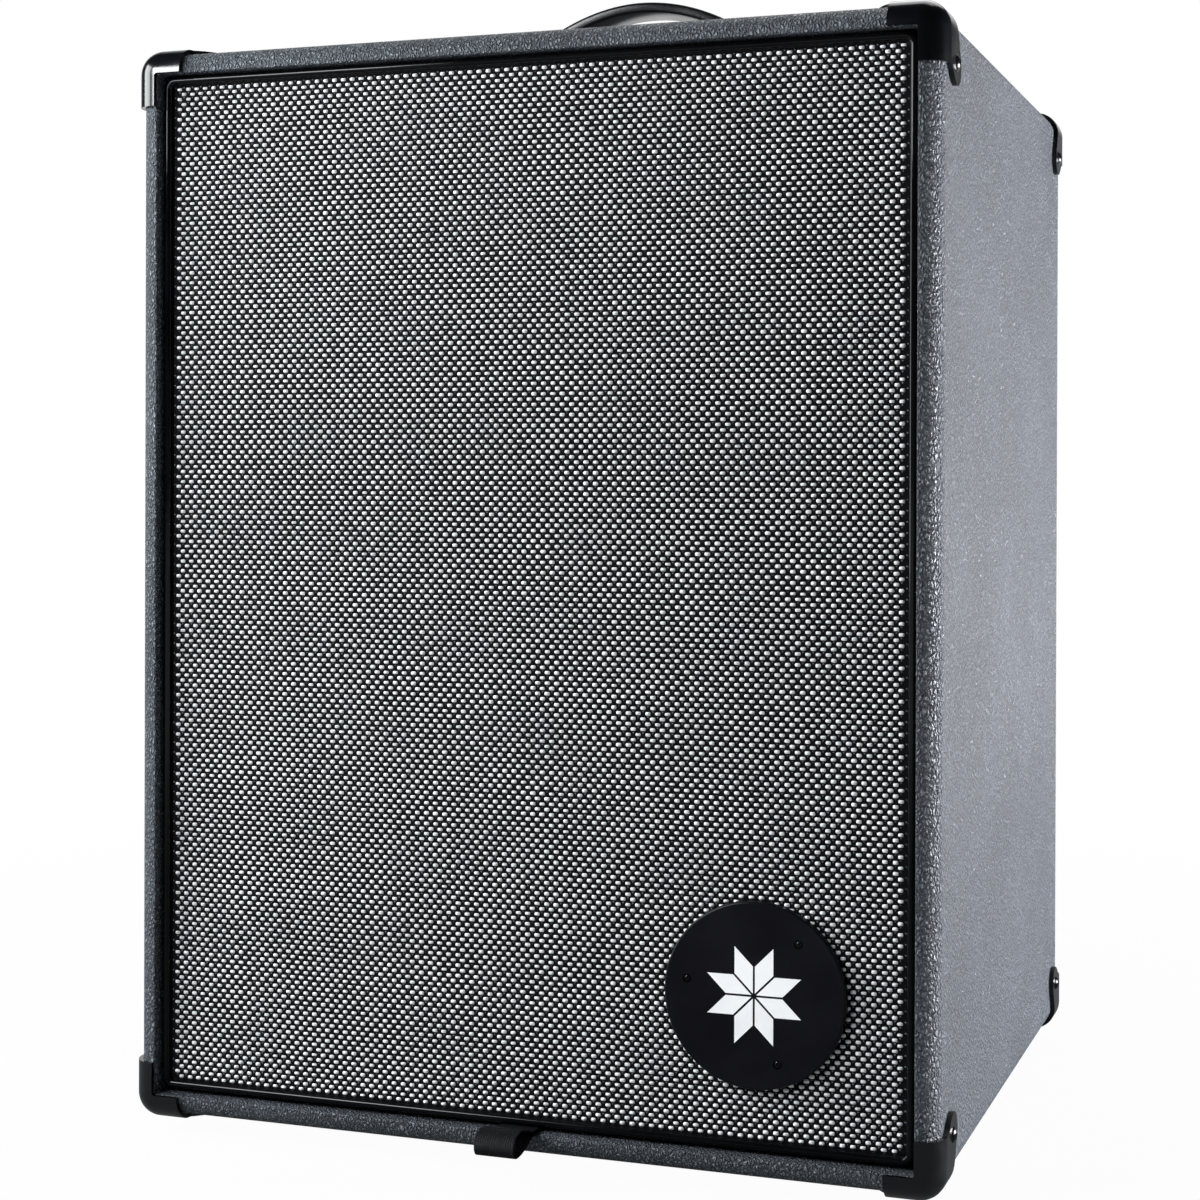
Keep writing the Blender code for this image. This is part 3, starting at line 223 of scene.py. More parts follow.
def join(pieces, name):
    """Make several objects one."""
    clear_selection()
    for piece in pieces:
        piece.select_set(True)
    bpy.context.view_layer.objects.active = pieces[0]
    bpy.ops.object.join()
    pieces[0].name = name
    return pieces[0]


def copy_of(piece, name):
    """A copy with its own mesh."""
    twin = piece.copy()
    twin.data = piece.data.copy()
    twin.name = name
    scene.collection.objects.link(twin)
    return twin


def faces_of(piece):
    piece.data.calc_loop_triangles()
    return len(piece.data.loop_triangles)


def report(piece):
    low = [min(v.co[n] for v in piece.data.vertices) for n in range(3)]
    high = [max(v.co[n] for v in piece.data.vertices) for n in range(3)]
    size = [round((b - a) * 1000, 1) for a, b in zip(low, high)]
    print(piece.name, size, "mm,", faces_of(piece), "triangles")


print("workshop helpers ready")

# %% [markdown]
# The cabinet is a plywood tube: top, bottom and two sides, glued up and rounded over outside with a router,
# then covered with leatherette that turns in over the front edge. It could be one profile drawn round a
# rectangle, but a box that is rounded and then hollowed follows the maker's own order, and the hollow can
# carry the small radius that the covering leaves where it turns inside.

# %% Covered cabinet
INNER_RADIUS = 0.0022
OVERRUN = 0.01
WELL_HALF = 0.186
WELL_FRONT = FRONT + 0.285
WELL_BACK = FRONT + 0.385
WELL_RIM = 0.0018


def rounded_frame(name, half, low, high, radius, at, segments=6):
    """A flat rounded rectangle that stands upright across Y."""
    clear_selection()
    middle = (0, at, (low + high) / 2)
    bpy.ops.mesh.primitive_plane_add(size=1, rotation=(math.radians(90), 0, 0), location=middle)
    piece = bpy.context.object
    piece.name = name
    piece.scale = (2 * half, high - low, 1)
    settle(piece)
    edit(piece, "VERT")
    bpy.ops.mesh.select_all(action="SELECT")
    bpy.ops.mesh.bevel(offset=radius, segments=segments, affect="VERTICES", profile=0.5)
    return leave_edit(piece)


def push_ring(piece, distance, grow):
    """Extrude the selected face along Y, then grow it by a width on every side."""
    bpy.ops.mesh.extrude_region_move(TRANSFORM_OT_translate={"value": (0, distance, 0)})
    points = [v.co for v in bmesh.from_edit_mesh(piece.data).verts if v.select]
    low = Vector([min(p[n] for p in points) for n in range(3)])
    high = Vector([max(p[n] for p in points) for n in range(3)])
    size = high - low
    bpy.ops.transform.resize(
        value=((size.x + 2 * grow) / size.x, 1, (size.z + 2 * grow) / size.z),
        center_override=(low + high) / 2,
    )


def hollow_cutter(name, half, low, high, start, end, lip=0.001, steps=5):
    """A block for cutting the inside out, flared at both ends like the turned-in covering."""
    cutter = rounded_frame(name, half + lip, low - lip, high + lip, INNER_RADIUS, start - OVERRUN)
    edit(cutter, "FACE")
    bpy.ops.mesh.select_all(action="SELECT")
    push_ring(cutter, OVERRUN, 0)
    turns = [math.radians(90 * (n + 1) / steps) for n in range(steps)]
    past = 0.0
    wide = 0.0
    for turn in turns:
        push_ring(cutter, lip * (1 - math.cos(turn)) - past, wide - lip * math.sin(turn))
        past = lip * (1 - math.cos(turn))
        wide = lip * math.sin(turn)
    push_ring(cutter, end - start - 2 * lip, 0)
    for turn in reversed(turns[:-1]):
        push_ring(cutter, past - lip * (1 - math.cos(turn)), wide - lip * math.sin(turn))
        past = lip * (1 - math.cos(turn))
        wide = lip * math.sin(turn)
    push_ring(cutter, past, wide)
    push_ring(cutter, OVERRUN, 0)
    leave_edit(cutter)
    return tidy_faces(cutter)


cabinet = add_box("covered_cabinet", shell_low, shell_high)
apply_modifier(cabinet, "BEVEL", width=ROUND, segments=12, limit_method="NONE")
inside = hollow_cutter("cut_inside", HALF - WALL, BASE + WALL, TOP - WALL, FRONT, BACK)
combine(cabinet, [inside], "DIFFERENCE")
well = add_box("cut_well", (-WELL_HALF, WELL_FRONT, TOP - 2 * WALL), (WELL_HALF, WELL_BACK, TOP + WALL))
combine(cabinet, [well], "DIFFERENCE")
report(cabinet)

# %% Round the rim of the control well
mesh = edit(cabinet, "EDGE")
for edge in mesh.edges:
    ends = [v.co for v in edge.verts]
    on_top = all(abs(p.z - TOP) < 1e-5 for p in ends)
    in_well = all(abs(p.x) < WELL_HALF + 1e-4 and WELL_FRONT - 1e-4 < p.y < WELL_BACK + 1e-4 for p in ends)
    edge.select = on_top and in_well
rim_edges = sum(edge.select for edge in mesh.edges)
bpy.ops.mesh.bevel(offset=WELL_RIM, segments=5, affect="EDGES")
leave_edit(cabinet)
tidy_faces(cabinet)
soften(cabinet)
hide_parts("cabinet_shell")
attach(cabinet, "cabinet")
print("rim edges", rim_edges)
report(cabinet)

# %% [markdown]
# The photograph was taken on a white sweep, so the stage is one pale floor under a white world. The camera
# sees the floor as white, with a small share of an ordinary matt surface near the object that catches its
# faint shadow. Far from the object it is plain white, so that it meets the background with no visible line.
# The light on the object comes from the lamps. A mirror-like surface sees white only behind the object, and
# on the floor only far from it: nearer by, the floor it mirrors is dark grey, and a dark flag stands behind
# at the right. So the black pieces stay black at a flat angle, which a photographer does with black card.

# %% Node helpers
GRID_ROWS, GRID_WIDE, GRID_TALL = 5, 200, 260


def place_node(tree, kind, **values):
    """Add a node, set its values by name, and put it on a grid in the order of making."""
    column, row = divmod(len(tree.nodes), GRID_ROWS)
    made = tree.nodes.new(kind)
    made.location = (column * GRID_WIDE, -row * GRID_TALL)
    for key, value in values.items():
        setattr(made, key, value)
    return made


def join_up(source, target):
    target.id_data.links.new(source, target)


def calculate(operation, first, second=None):
    """A Math node whose inputs are sockets or plain numbers, at least one of them a socket."""
    values = [v for v in (first, second) if v is not None]
    tree = next(v for v in values if isinstance(v, bpy.types.NodeSocket)).id_data
    made = place_node(tree, "ShaderNodeMath", operation=operation)
    for socket, value in zip(made.inputs, values):
        if isinstance(value, (int, float)):
            socket.default_value = value
        else:
            join_up(value, socket)
    return made.outputs[0]


def spread(value, low, high, to_low=0.0, to_high=1.0):
    """A smooth Map Range node: from low..high to to_low..to_high."""
    made = place_node(value.id_data, "ShaderNodeMapRange", interpolation_type="SMOOTHSTEP")
    join_up(value, made.inputs["Value"])
    made.inputs["From Min"].default_value = low
    made.inputs["From Max"].default_value = high
    made.inputs["To Min"].default_value = to_low
    made.inputs["To Max"].default_value = to_high
    return made.outputs["Result"]


def blend_colours(share, first, second):
    """A Mix node between two colours, each a socket or a plain colour."""
    made = place_node(share.id_data, "ShaderNodeMix", data_type="RGBA")
    join_up(share, made.inputs["Factor"])
    for socket, value in ((made.inputs[6], first), (made.inputs[7], second)):
        if isinstance(value, tuple):
            socket.default_value = (*value, 1.0)
        else:
            join_up(value, socket)
    return made.outputs[2]


print("node helpers ready")

# %% White world
WHITE_FROM, WHITE_TO = 0.35, 0.80
FLAG_FROM, FLAG_TO = 0.02, 0.16
AMBIENT, AMBIENT_MIRRORED = 0.08, 0.02
world = bpy.data.worlds.new("studio")
scene.world = world
world.use_nodes = True
tree = world.node_tree
tree.nodes.clear()
path = place_node(tree, "ShaderNodeLightPath")
where = place_node(tree, "ShaderNodeTexCoord")
split = place_node(tree, "ShaderNodeSeparateXYZ")
join_up(where.outputs["Generated"], split.inputs[0])
behind = spread(split.outputs["Y"], WHITE_FROM, WHITE_TO)
unflagged = spread(split.outputs["X"], FLAG_FROM, FLAG_TO, 1.0, 0.0)
behind = calculate("MULTIPLY", behind, unflagged)
reflected = calculate("MULTIPLY", path.outputs["Is Glossy Ray"], behind)
seen = calculate("MAXIMUM", path.outputs["Is Camera Ray"], path.outputs["Is Transmission Ray"])
shown = calculate("MAXIMUM", seen, reflected)
dim = spread(path.outputs["Is Glossy Ray"], 0, 1, AMBIENT, AMBIENT_MIRRORED)
gap = calculate("SUBTRACT", 1.0, dim)
lift = calculate("MULTIPLY", shown, gap)
strength = calculate("ADD", lift, dim)
sky = place_node(tree, "ShaderNodeBackground")
join_up(strength, sky.inputs["Strength"])
sky.inputs["Color"].default_value = (1, 1, 1, 1)
finish_node = place_node(tree, "ShaderNodeOutputWorld")
join_up(sky.outputs[0], finish_node.inputs["Surface"])
print("world nodes", len(tree.nodes))

# %% Pale floor
FLOOR_SIZE = 40
FLOOR_NEAR = 0.97
PALE_FROM, PALE_TO = 0.35, 1.3
MIRROR_FROM, MIRROR_TO, MIRROR_NEAR = 1.0, 2.4, 0.05
FLOOR_GREY, FLOOR_GREY_MIRRORED = (0.42, 0.42, 0.42), (0.14, 0.14, 0.14)
clear_selection()
bpy.ops.mesh.primitive_plane_add(size=FLOOR_SIZE, location=(0, 0, 0))
floor = bpy.context.object
floor.name = "floor"
floor_paint = bpy.data.materials.new("pale_floor")
floor_paint.use_nodes = True
tree = floor_paint.node_tree
tree.nodes.clear()
spot = place_node(tree, "ShaderNodeTexCoord")
length = place_node(tree, "ShaderNodeVectorMath", operation="LENGTH")
join_up(spot.outputs["Object"], length.inputs[0])
far = spread(length.outputs["Value"], PALE_FROM, PALE_TO, FLOOR_NEAR, 1.0)
path = place_node(tree, "ShaderNodeLightPath")
direct = calculate("MAXIMUM", path.outputs["Is Camera Ray"], path.outputs["Is Transmission Ray"])
direct = calculate("MULTIPLY", direct, far)
beyond = spread(length.outputs["Value"], MIRROR_FROM, MIRROR_TO, MIRROR_NEAR, 1.0)
mirror = calculate("MULTIPLY", path.outputs["Is Glossy Ray"], beyond)
share = calculate("MAXIMUM", direct, mirror)
matt = place_node(tree, "ShaderNodeBsdfDiffuse")
grey = blend_colours(path.outputs["Is Glossy Ray"], FLOOR_GREY, FLOOR_GREY_MIRRORED)
join_up(grey, matt.inputs["Color"])
white = place_node(tree, "ShaderNodeEmission")
white.inputs["Strength"].default_value = 1.0
mixed = place_node(tree, "ShaderNodeMixShader")
join_up(share, mixed.inputs[0])
join_up(matt.outputs[0], mixed.inputs[1])
join_up(white.outputs[0], mixed.inputs[2])
out = place_node(tree, "ShaderNodeOutputMaterial")
join_up(mixed.outputs[0], out.inputs["Surface"])
floor.data.materials.append(floor_paint)
print("floor", floor.dimensions[:2])

# %% [markdown]
# Four soft boxes light the object. A small bright one stands front left, where the upper left corner mirrors
# it. A larger one is further round to the left, and its light skims over the cloth and models every pillow
# of yarn. A wide low panel lights the right side and draws the pale stripe down its rounding. The last hangs
# above and behind, for the handle, the controls and the rear.

# %% Soft boxes
def soft_box(name, place, target, width, height, power, colour):
    """A rectangular area lamp at a place, turned to a target."""
    bpy.ops.object.light_add(type="AREA", location=place)
    lamp = bpy.context.object
    lamp.name = name
    lamp.data.shape = "RECTANGLE"
    lamp.data.size = width
    lamp.data.size_y = height
    lamp.data.energy = power
    lamp.data.color = colour
    lamp.rotation_euler = (Vector(target) - Vector(place)).to_track_quat("-Z", "Y").to_euler()
    print(name, power, "W")


# Each row: name, place, target, width, height, watts, colour.
SOFT_BOXES = (
    ("front_left_box", (-0.76, -1.15, 0.95), (-0.16, -0.19, 0.54), 0.44, 0.50, 21, (0.95, 0.98, 1.0)),
    ("left_box", (-1.16, -0.55, 0.70), (0.0, -0.19, 0.36), 0.60, 0.95, 20, (0.95, 0.985, 1.0)),
    ("right_panel", (1.75, 0.80, 0.10), (0.2, 0.05, 0.20), 1.15, 0.9, 174, (0.95, 0.955, 1.0)),
    ("top_box", (0.1, 0.95, 2.1), (0, 0.05, 0.45), 1.4, 1.4, 16, (1.0, 1.0, 1.0)),
)
clear_selection()
for lamp_values in SOFT_BOXES:
    soft_box(*lamp_values)

# %% [markdown]
# An effect that several finishes share is kept as one node group and used with other numbers each time.
# The leatherette has a pressed leather grain: small raised cells with creases between them, drawn out a
# little in one direction. A Voronoi texture gives the cells, and noise bends them so that none looks ruled.

# %% Leather grain group
def start_group(name, inputs, outputs):
    """A new shader group with named sockets, its input node and its output node."""
    tree = bpy.data.node_groups.new(name, "ShaderNodeTree")
    for title, kind, value in inputs:
        socket = tree.interface.new_socket(title, in_out="INPUT", socket_type=kind)
        if value is not None:
            socket.default_value = value
    for title, kind in outputs:
        tree.interface.new_socket(title, in_out="OUTPUT", socket_type=kind)
    start = place_node(tree, "NodeGroupInput")
    end = place_node(tree, "NodeGroupOutput")
    end.location = (2800, 0)
    return tree, start, end


VECTOR, NUMBER = "NodeSocketVector", "NodeSocketFloat"


def scaled(vector, size):
    """The vector divided by a size, so that one unit is one cell."""
    even = place_node(size.id_data, "ShaderNodeCombineXYZ")
    for socket in even.inputs:
        join_up(size, socket)
    made = place_node(size.id_data, "ShaderNodeVectorMath", operation="DIVIDE")
    join_up(vector, made.inputs[0])
    join_up(even.outputs[0], made.inputs[1])
    return made.outputs[0]


def noise_at(vector, scale, detail, rough):
    """A Noise texture of a vector."""
    made = place_node(vector.id_data, "ShaderNodeTexNoise")
    join_up(vector, made.inputs["Vector"])
    made.inputs["Scale"].default_value = scale
    made.inputs["Detail"].default_value = detail
    made.inputs["Roughness"].default_value = rough
    return made


leather, start, end = start_group(
    "leather_grain",
    (("Vector", VECTOR, None), ("Cell Size", NUMBER, 0.0016), ("Crease", NUMBER, 0.22)),
    (("Height", NUMBER), ("Crease Mask", NUMBER), ("Speckle", NUMBER)),
)
CELL_BEND = 1.1
CELL_TURN, CELL_STRETCH = (0.35, math.radians(38), 0.6), (1.0, 0.62, 0.55)
cells = scaled(start.outputs["Vector"], start.outputs["Cell Size"])
bend = noise_at(cells, 0.7, 3.0, 0.6)
pull = place_node(leather, "ShaderNodeVectorMath", operation="MULTIPLY_ADD")
join_up(bend.outputs["Color"], pull.inputs[0])
pull.inputs[1].default_value = (CELL_BEND, CELL_BEND, CELL_BEND)
join_up(cells, pull.inputs[2])
slant = place_node(leather, "ShaderNodeMapping")
slant.inputs["Rotation"].default_value = CELL_TURN
slant.inputs["Scale"].default_value = CELL_STRETCH
join_up(pull.outputs[0], slant.inputs["Vector"])
edges = place_node(leather, "ShaderNodeTexVoronoi", feature="DISTANCE_TO_EDGE")
join_up(slant.outputs[0], edges.inputs["Vector"])
edges.inputs["Scale"].default_value = 1.0
domes = place_node(leather, "ShaderNodeTexVoronoi", feature="SMOOTH_F1")
join_up(slant.outputs[0], domes.inputs["Vector"])
domes.inputs["Scale"].default_value = 1.9
domes.inputs["Smoothness"].default_value = 0.35
pores = noise_at(cells, 3.2, 3.0, 0.65)
raised = place_node(leather, "ShaderNodeMapRange", interpolation_type="SMOOTHSTEP")
join_up(edges.outputs["Distance"], raised.inputs["Value"])
join_up(start.outputs["Crease"], raised.inputs["From Max"])
crown = calculate("MULTIPLY", domes.outputs["Distance"], -0.45)
body = calculate("ADD", raised.outputs["Result"], crown)
fine = calculate("MULTIPLY", pores.outputs["Fac"], 0.35)
height = calculate("ADD", body, fine)
join_up(height, end.inputs["Height"])
crease_mask = calculate("SUBTRACT", 1.0, raised.outputs["Result"])
join_up(crease_mask, end.inputs["Crease Mask"])
flecks = noise_at(cells, 0.85, 2.0, 0.6)
join_up(spread(flecks.outputs["Fac"], 0.41, 0.59), end.inputs["Speckle"])
print("leather_grain nodes", len(leather.nodes))

# %% [markdown]
# A finish is then a short recipe: one group for its relief, two colours for its high and low places, and a
# roughness that follows the same mask.
# On the leatherette the dark colour of the low places is painted shade in the creases. The Principled shader
# stays in the material itself.

# %% Finish helpers
def start_finish(name, roughness=0.5, metallic=0.0, **shader_values):
    """A material with only its shader and output. Other inputs of the shader are set by name."""
    paint = bpy.data.materials.new(name)
    paint.use_nodes = True
    tree = paint.node_tree
    shader = tree.nodes["Principled BSDF"]
    shader.location = (2400, 0)
    tree.nodes["Material Output"].location = (2800, 0)
    shader.inputs["Roughness"].default_value = roughness
    shader.inputs["Metallic"].default_value = metallic
    for key, value in shader_values.items():
        shader.inputs[key.replace("_", " ").title().replace("Ior", "IOR")].default_value = value
    return paint, tree, shader


def place_group(group, vector, **values):
    """Use a shared group in a material, with its own numbers."""
    made = place_node(vector.id_data, "ShaderNodeGroup", node_tree=group)
    join_up(vector, made.inputs["Vector"])
    for key, value in values.items():
        made.inputs[key.replace("_", " ").title()].default_value = value
    return made


def object_place(tree):
    """Object coordinates, which are metres from the world's origin."""
    return place_node(tree, "ShaderNodeTexCoord").outputs["Object"]


def relief(shader, height, distance):
    """A Bump node of a real depth in metres that feeds the shader's normal."""
    made = place_node(height.id_data, "ShaderNodeBump")
    made.inputs["Strength"].default_value = 1.0
    made.inputs["Distance"].default_value = distance
    join_up(height, made.inputs["Height"])
    join_up(made.outputs["Normal"], shader.inputs["Normal"])


def dress(paint, *pieces):
    """Give pieces or nodes a finish in all of their slots."""
    for piece in pieces:
        target = bpy.data.objects[piece] if isinstance(piece, str) else piece
        if not target.material_slots:
            target.data.materials.append(paint)
        for slot in target.material_slots:
            slot.material = paint


print("finish helpers ready")

# %% Grey leatherette
LEATHER_CELL = 0.0017
LEATHER_CREASE = 0.34
LEATHER_DEPTH = 0.00120
LEATHER_SHINE = 0.25
LEATHER_SPECULAR = 0.42
LEATHER_HIGH = (0.180, 0.206, 0.238)
# The dark leatherette colour is painted shade in the creases, and also the colour of the random flecks.
LEATHER_CREASE_SHADE_AND_FLECK = (0.024, 0.029, 0.036)
LEATHER_WARM = (0.150, 0.172, 0.200)
leatherette, tree, shader = start_finish("grey_leatherette", specular_ior_level=LEATHER_SPECULAR)
spot = object_place(tree)
grain = place_group(leather, spot, cell_size=LEATHER_CELL, crease=LEATHER_CREASE)
broad = noise_at(spot, 9.0, 2.0, 0.5)
# Painted shade: the creases between the grain's cells are coloured far darker than the cells.
shade = blend_colours(grain.outputs["Crease Mask"], LEATHER_HIGH, LEATHER_CREASE_SHADE_AND_FLECK)
mottle = spread(broad.outputs["Fac"], 0.3, 0.7, 0.0, 0.25)
colour = blend_colours(mottle, shade, LEATHER_WARM)
speckle = calculate("MULTIPLY", grain.outputs["Speckle"], 0.62)
colour = blend_colours(speckle, colour, LEATHER_CREASE_SHADE_AND_FLECK)
join_up(colour, shader.inputs["Base Color"])
gloss = spread(grain.outputs["Crease Mask"], 0, 1, LEATHER_SHINE, 0.62)
join_up(gloss, shader.inputs["Roughness"])
relief(shader, grain.outputs["Height"], LEATHER_DEPTH)
dress(leatherette, cabinet)
print("leatherette", len(tree.nodes), "nodes")

# %% [markdown]
# Eight pressed steel corners protect the cabinet. Each one wraps a corner with a rounded skin, lies on the
# front edge as a narrow L, and holds on to two faces with a petal that takes one domed screw. It is made
# once, as a thin rounded shell trimmed by three outlines, and then mirrored to the other places.

# %% Outlines of a metal corner
# The petal in millimetres: how far back from the front, and how far in from the edge beside it.
PETAL = (
    (30.0, 9.2), (34.0, 17.7), (37.0, 23.5), (38.2, 28.5), (37.2, 33.0),
    (34.0, 36.7), (29.5, 38.4), (25.5, 37.8), (20.5, 35.2), (16.5, 31.8),
)
PETAL_START = 0.029
# The outlines reach past the cabinet by this much, so that they trim the shell all the way through.
OUT = 0.003
SIDE_LIP, TOP_LIP = 0.030, 0.0275
INNER_EDGE = WALL - 0.0006
INNER_FILLET = 0.0025
corner_point = Vector((HALF, FRONT, TOP))


def curved(points, steps=4):
    """A smooth line through points (Catmull-Rom)."""
    points = [Vector(p) for p in points]
    ends = [2 * points[0] - points[1]] + points + [2 * points[-1] - points[-2]]
    line = []
    for a, b, c, d in zip(ends, ends[1:], ends[2:], ends[3:]):
        for step in range(steps):
            t = step / steps
            line.append(0.5 * (2 * b + (c - a) * t + (2 * a - 5 * b + 4 * c - d) * t * t
                               + (3 * b - a - 3 * c + d) * t ** 3))
    line.append(points[-1])
    return line


def petal_outline(lip):
    middle = [p / 1000 for p in curved(PETAL)]
    start = [Vector((-OUT, -OUT)), Vector((PETAL_START, -OUT))]
    return start + middle + [Vector((ROUND + 0.0012, lip)), Vector((-OUT, lip))]


def lip_outline():
    """The L on the front edge, as distances in from the side and down from the top."""
    centre = INNER_EDGE + INNER_FILLET
    inner = []
    for step in range(7):
        turn = math.radians(15 * step)
        aside = centre - INNER_FILLET * math.sin(turn)
        down = centre - INNER_FILLET * math.cos(turn)
        inner.append(Vector((aside, down)))
    return (
        [Vector((-OUT, -OUT)), Vector((TOP_LIP, -OUT)), Vector((TOP_LIP, INNER_EDGE))]
        + inner
        + [Vector((INNER_EDGE, SIDE_LIP)), Vector((-OUT, SIDE_LIP))]
    )


def plate(name, points, push):
    """A flat outline pushed to a thickness: a filled circle primitive, its points moved, then extruded."""
    clear_selection()
    bpy.ops.mesh.primitive_circle_add(vertices=len(points), radius=0.01, fill_type="NGON")
    piece = bpy.context.object
    piece.name = name
    for vertex, point in zip(piece.data.vertices, points):
        vertex.co = point
    edit(piece, "FACE")
    bpy.ops.mesh.select_all(action="SELECT")
    bpy.ops.mesh.extrude_region_move(TRANSFORM_OT_translate={"value": push})
    leave_edit(piece)
    return tidy_faces(piece)


print("petal points", len(petal_outline(SIDE_LIP)), "lip points", len(lip_outline()))

# %% One metal corner
BLOCK = 0.06


def corner_block(name, proud):
    """A block rounded like the cabinet, with its corner a little outside the cabinet's own."""
    far = corner_point + Vector((proud, -proud, proud))
    piece = add_box(name, far + Vector((-BLOCK, 0, -BLOCK)), far + Vector((0, BLOCK, 0)))
    return apply_modifier(piece, "BEVEL", width=ROUND + proud, segments=12, limit_method="NONE")


depth = ROUND + OUT
side_flange = plate(
    "trim_side",
    [corner_point + Vector((-ROUND, p.x, -p.y)) for p in petal_outline(SIDE_LIP)],
    (depth, 0, 0),
)
top_flange = plate(
    "trim_top",
    [corner_point + Vector((-p.y, p.x, -ROUND)) for p in petal_outline(TOP_LIP)],
    (0, 0, depth),
)
front_lip = plate(
    "trim_lip",
    [corner_point + Vector((-p.x, -OUT, -p.y)) for p in lip_outline()],
    (0, depth, 0),
)
combine(side_flange, [top_flange, front_lip], "UNION")
metal_corner = corner_block("corner_front_top_right_metal", PROUD)
combine(metal_corner, [corner_block("trim_inside", PROUD - SHEET)], "DIFFERENCE")
combine(metal_corner, [side_flange], "INTERSECT")
tidy_faces(metal_corner, 2e-6)
round_edges(metal_corner, 0.0007, 3, 50)
soften(metal_corner, 32)
report(metal_corner)

# %% [markdown]
# The corner's screws have a low domed head with a crossed recess. The head is the upper cap of a sphere: a
# sphere primitive cut off flat, with its recess cut by two crossed bars.

# %% Domed screw
def crossed_recess(size, deep, top):
    """Two crossed bars for cutting a screw's recess."""
    bars = []
    for turn in (0, 90):
        bar = add_box("trim_bar", (-size, -size * 0.22, top - deep), (size, size * 0.22, top + size))
        bar.rotation_euler = (0, 0, math.radians(turn))
        bars.append(settle(bar))
    return bars


def domed_screw(name, radius, rise, sides=28):
    """The cap of a sphere with a radius and a rise, and a crossed recess in it."""
    clear_selection()
    curve = (radius * radius + rise * rise) / (2 * rise)
    centre = (0, 0, rise - curve)
    bpy.ops.mesh.primitive_uv_sphere_add(segments=sides, ring_count=64, radius=curve, location=centre)
    piece = bpy.context.object
    piece.name = name
    settle(piece)
    edit(piece, "FACE")
    bpy.ops.mesh.select_all(action="SELECT")
    bpy.ops.mesh.bisect(plane_co=(0, 0, 0), plane_no=(0, 0, 1), clear_inner=True, use_fill=True)
    leave_edit(piece)
    combine(piece, crossed_recess(radius * 0.42, rise * 0.62, rise), "DIFFERENCE")
    tidy_faces(piece)
    return soften(piece, 30)


def stand_screw(screw, name, place, normal, turn):
    """A copy of a screw, seated at a place with its head towards a normal."""
    twin = copy_of(screw, name)
    lean = Vector(normal).to_track_quat("Z", "Y").to_matrix().to_4x4()
    twin.matrix_world = Matrix.Translation(place) @ lean @ Matrix.Rotation(turn, 4, "Z")
    return settle(twin)


screw = domed_screw("pattern_screw", 0.0044, 0.0021)
report(screw)
SCREW_BACK, SCREW_DOWN = 0.0265, 0.0272
skin = PROUD - 0.0001
side_screw = stand_screw(
    screw, "side_screw", corner_point + Vector((skin, SCREW_BACK, -SCREW_DOWN)), (1, 0, 0), 0.6
)
top_screw = stand_screw(
    screw, "top_screw", corner_point + Vector((-SCREW_DOWN, SCREW_BACK, skin)), (0, 0, 1), 0.25
)
corner_screws = join([side_screw, top_screw], "corner_screw_pattern")

# %% Mirror the corner to all eight places
def mirrored(piece, name, flips):
    """A copy turned over about the cabinet's middle planes, with its faces put right again."""
    twin = copy_of(piece, name)
    if flips == (1, 1, 1):
        return twin
    for vertex in twin.data.vertices:
        away = vertex.co - MIDDLE
        vertex.co = MIDDLE + Vector((away.x * flips[0], away.y * flips[1], away.z * flips[2]))
    if flips[0] * flips[1] * flips[2] < 0:
        twin.data.flip_normals()
    return soften(twin, 32)


corner_pieces = []
screw_pieces = []
for across, side_name in ((-1, "left"), (1, "right")):
    for along, end_name in ((1, "front"), (-1, "rear")):
        for up, level_name in ((-1, "bottom"), (1, "top")):
            node = f"corner_{end_name}_{level_name}_{side_name}"
            metal = mirrored(metal_corner, f"{node}_metal_skin", (across, along, up))
            heads = mirrored(corner_screws, f"{node}_screws", (across, along, up))
            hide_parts(node)
            for piece in (metal, heads):
                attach(piece, "cabinet")
            corner_pieces.append(metal)
            screw_pieces.append(heads)
for used in (metal_corner, corner_screws):
    bpy.data.objects.remove(used, do_unlink=True)
print(len(corner_pieces), "corners,", sum(faces_of(p) for p in corner_pieces + screw_pieces), "triangles")

# %% [markdown]
# The strap handle is a flat bar of rubbery vinyl over a steel band. Its ends run into two pressed caps, and
# the middle stands up in an arch. A long box gets its rounded edges while it is straight, is cut into many
# short lengths, and is then bent to the arch, as the real strap is.

# %% Strap handle
strap_low, strap_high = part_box("handle_strap")
STRAP_HALF = (strap_high.x - strap_low.x) / 2
STRAP_WIDE = strap_high.y - strap_low.y
STRAP_THICK = 0.0062
STRAP_RISE, ARCH_HALF, STRAP_SEAT = 0.0530, 0.1035, 0.0037
FOOT_BEND = 0.008
STRAP_EDGE = 0.0017
GROOVE_IN, GROOVE_WIDE, GROOVE_DEEP = 0.0030, 0.0006, 0.0005
STRAP_CUTS = 72
strap_middle = (strap_low.y + strap_high.y) / 2


def strap_height(across):
    """Height of the strap's middle over the cabinet's top."""
    arch = STRAP_RISE * (1 - (across / ARCH_HALF) ** 2)
    return (arch + STRAP_SEAT + math.hypot(arch - STRAP_SEAT, FOOT_BEND)) / 2


def pick_long_edges(mesh, length):
    for edge in mesh.edges:
        edge.select = edge.calc_length() > length


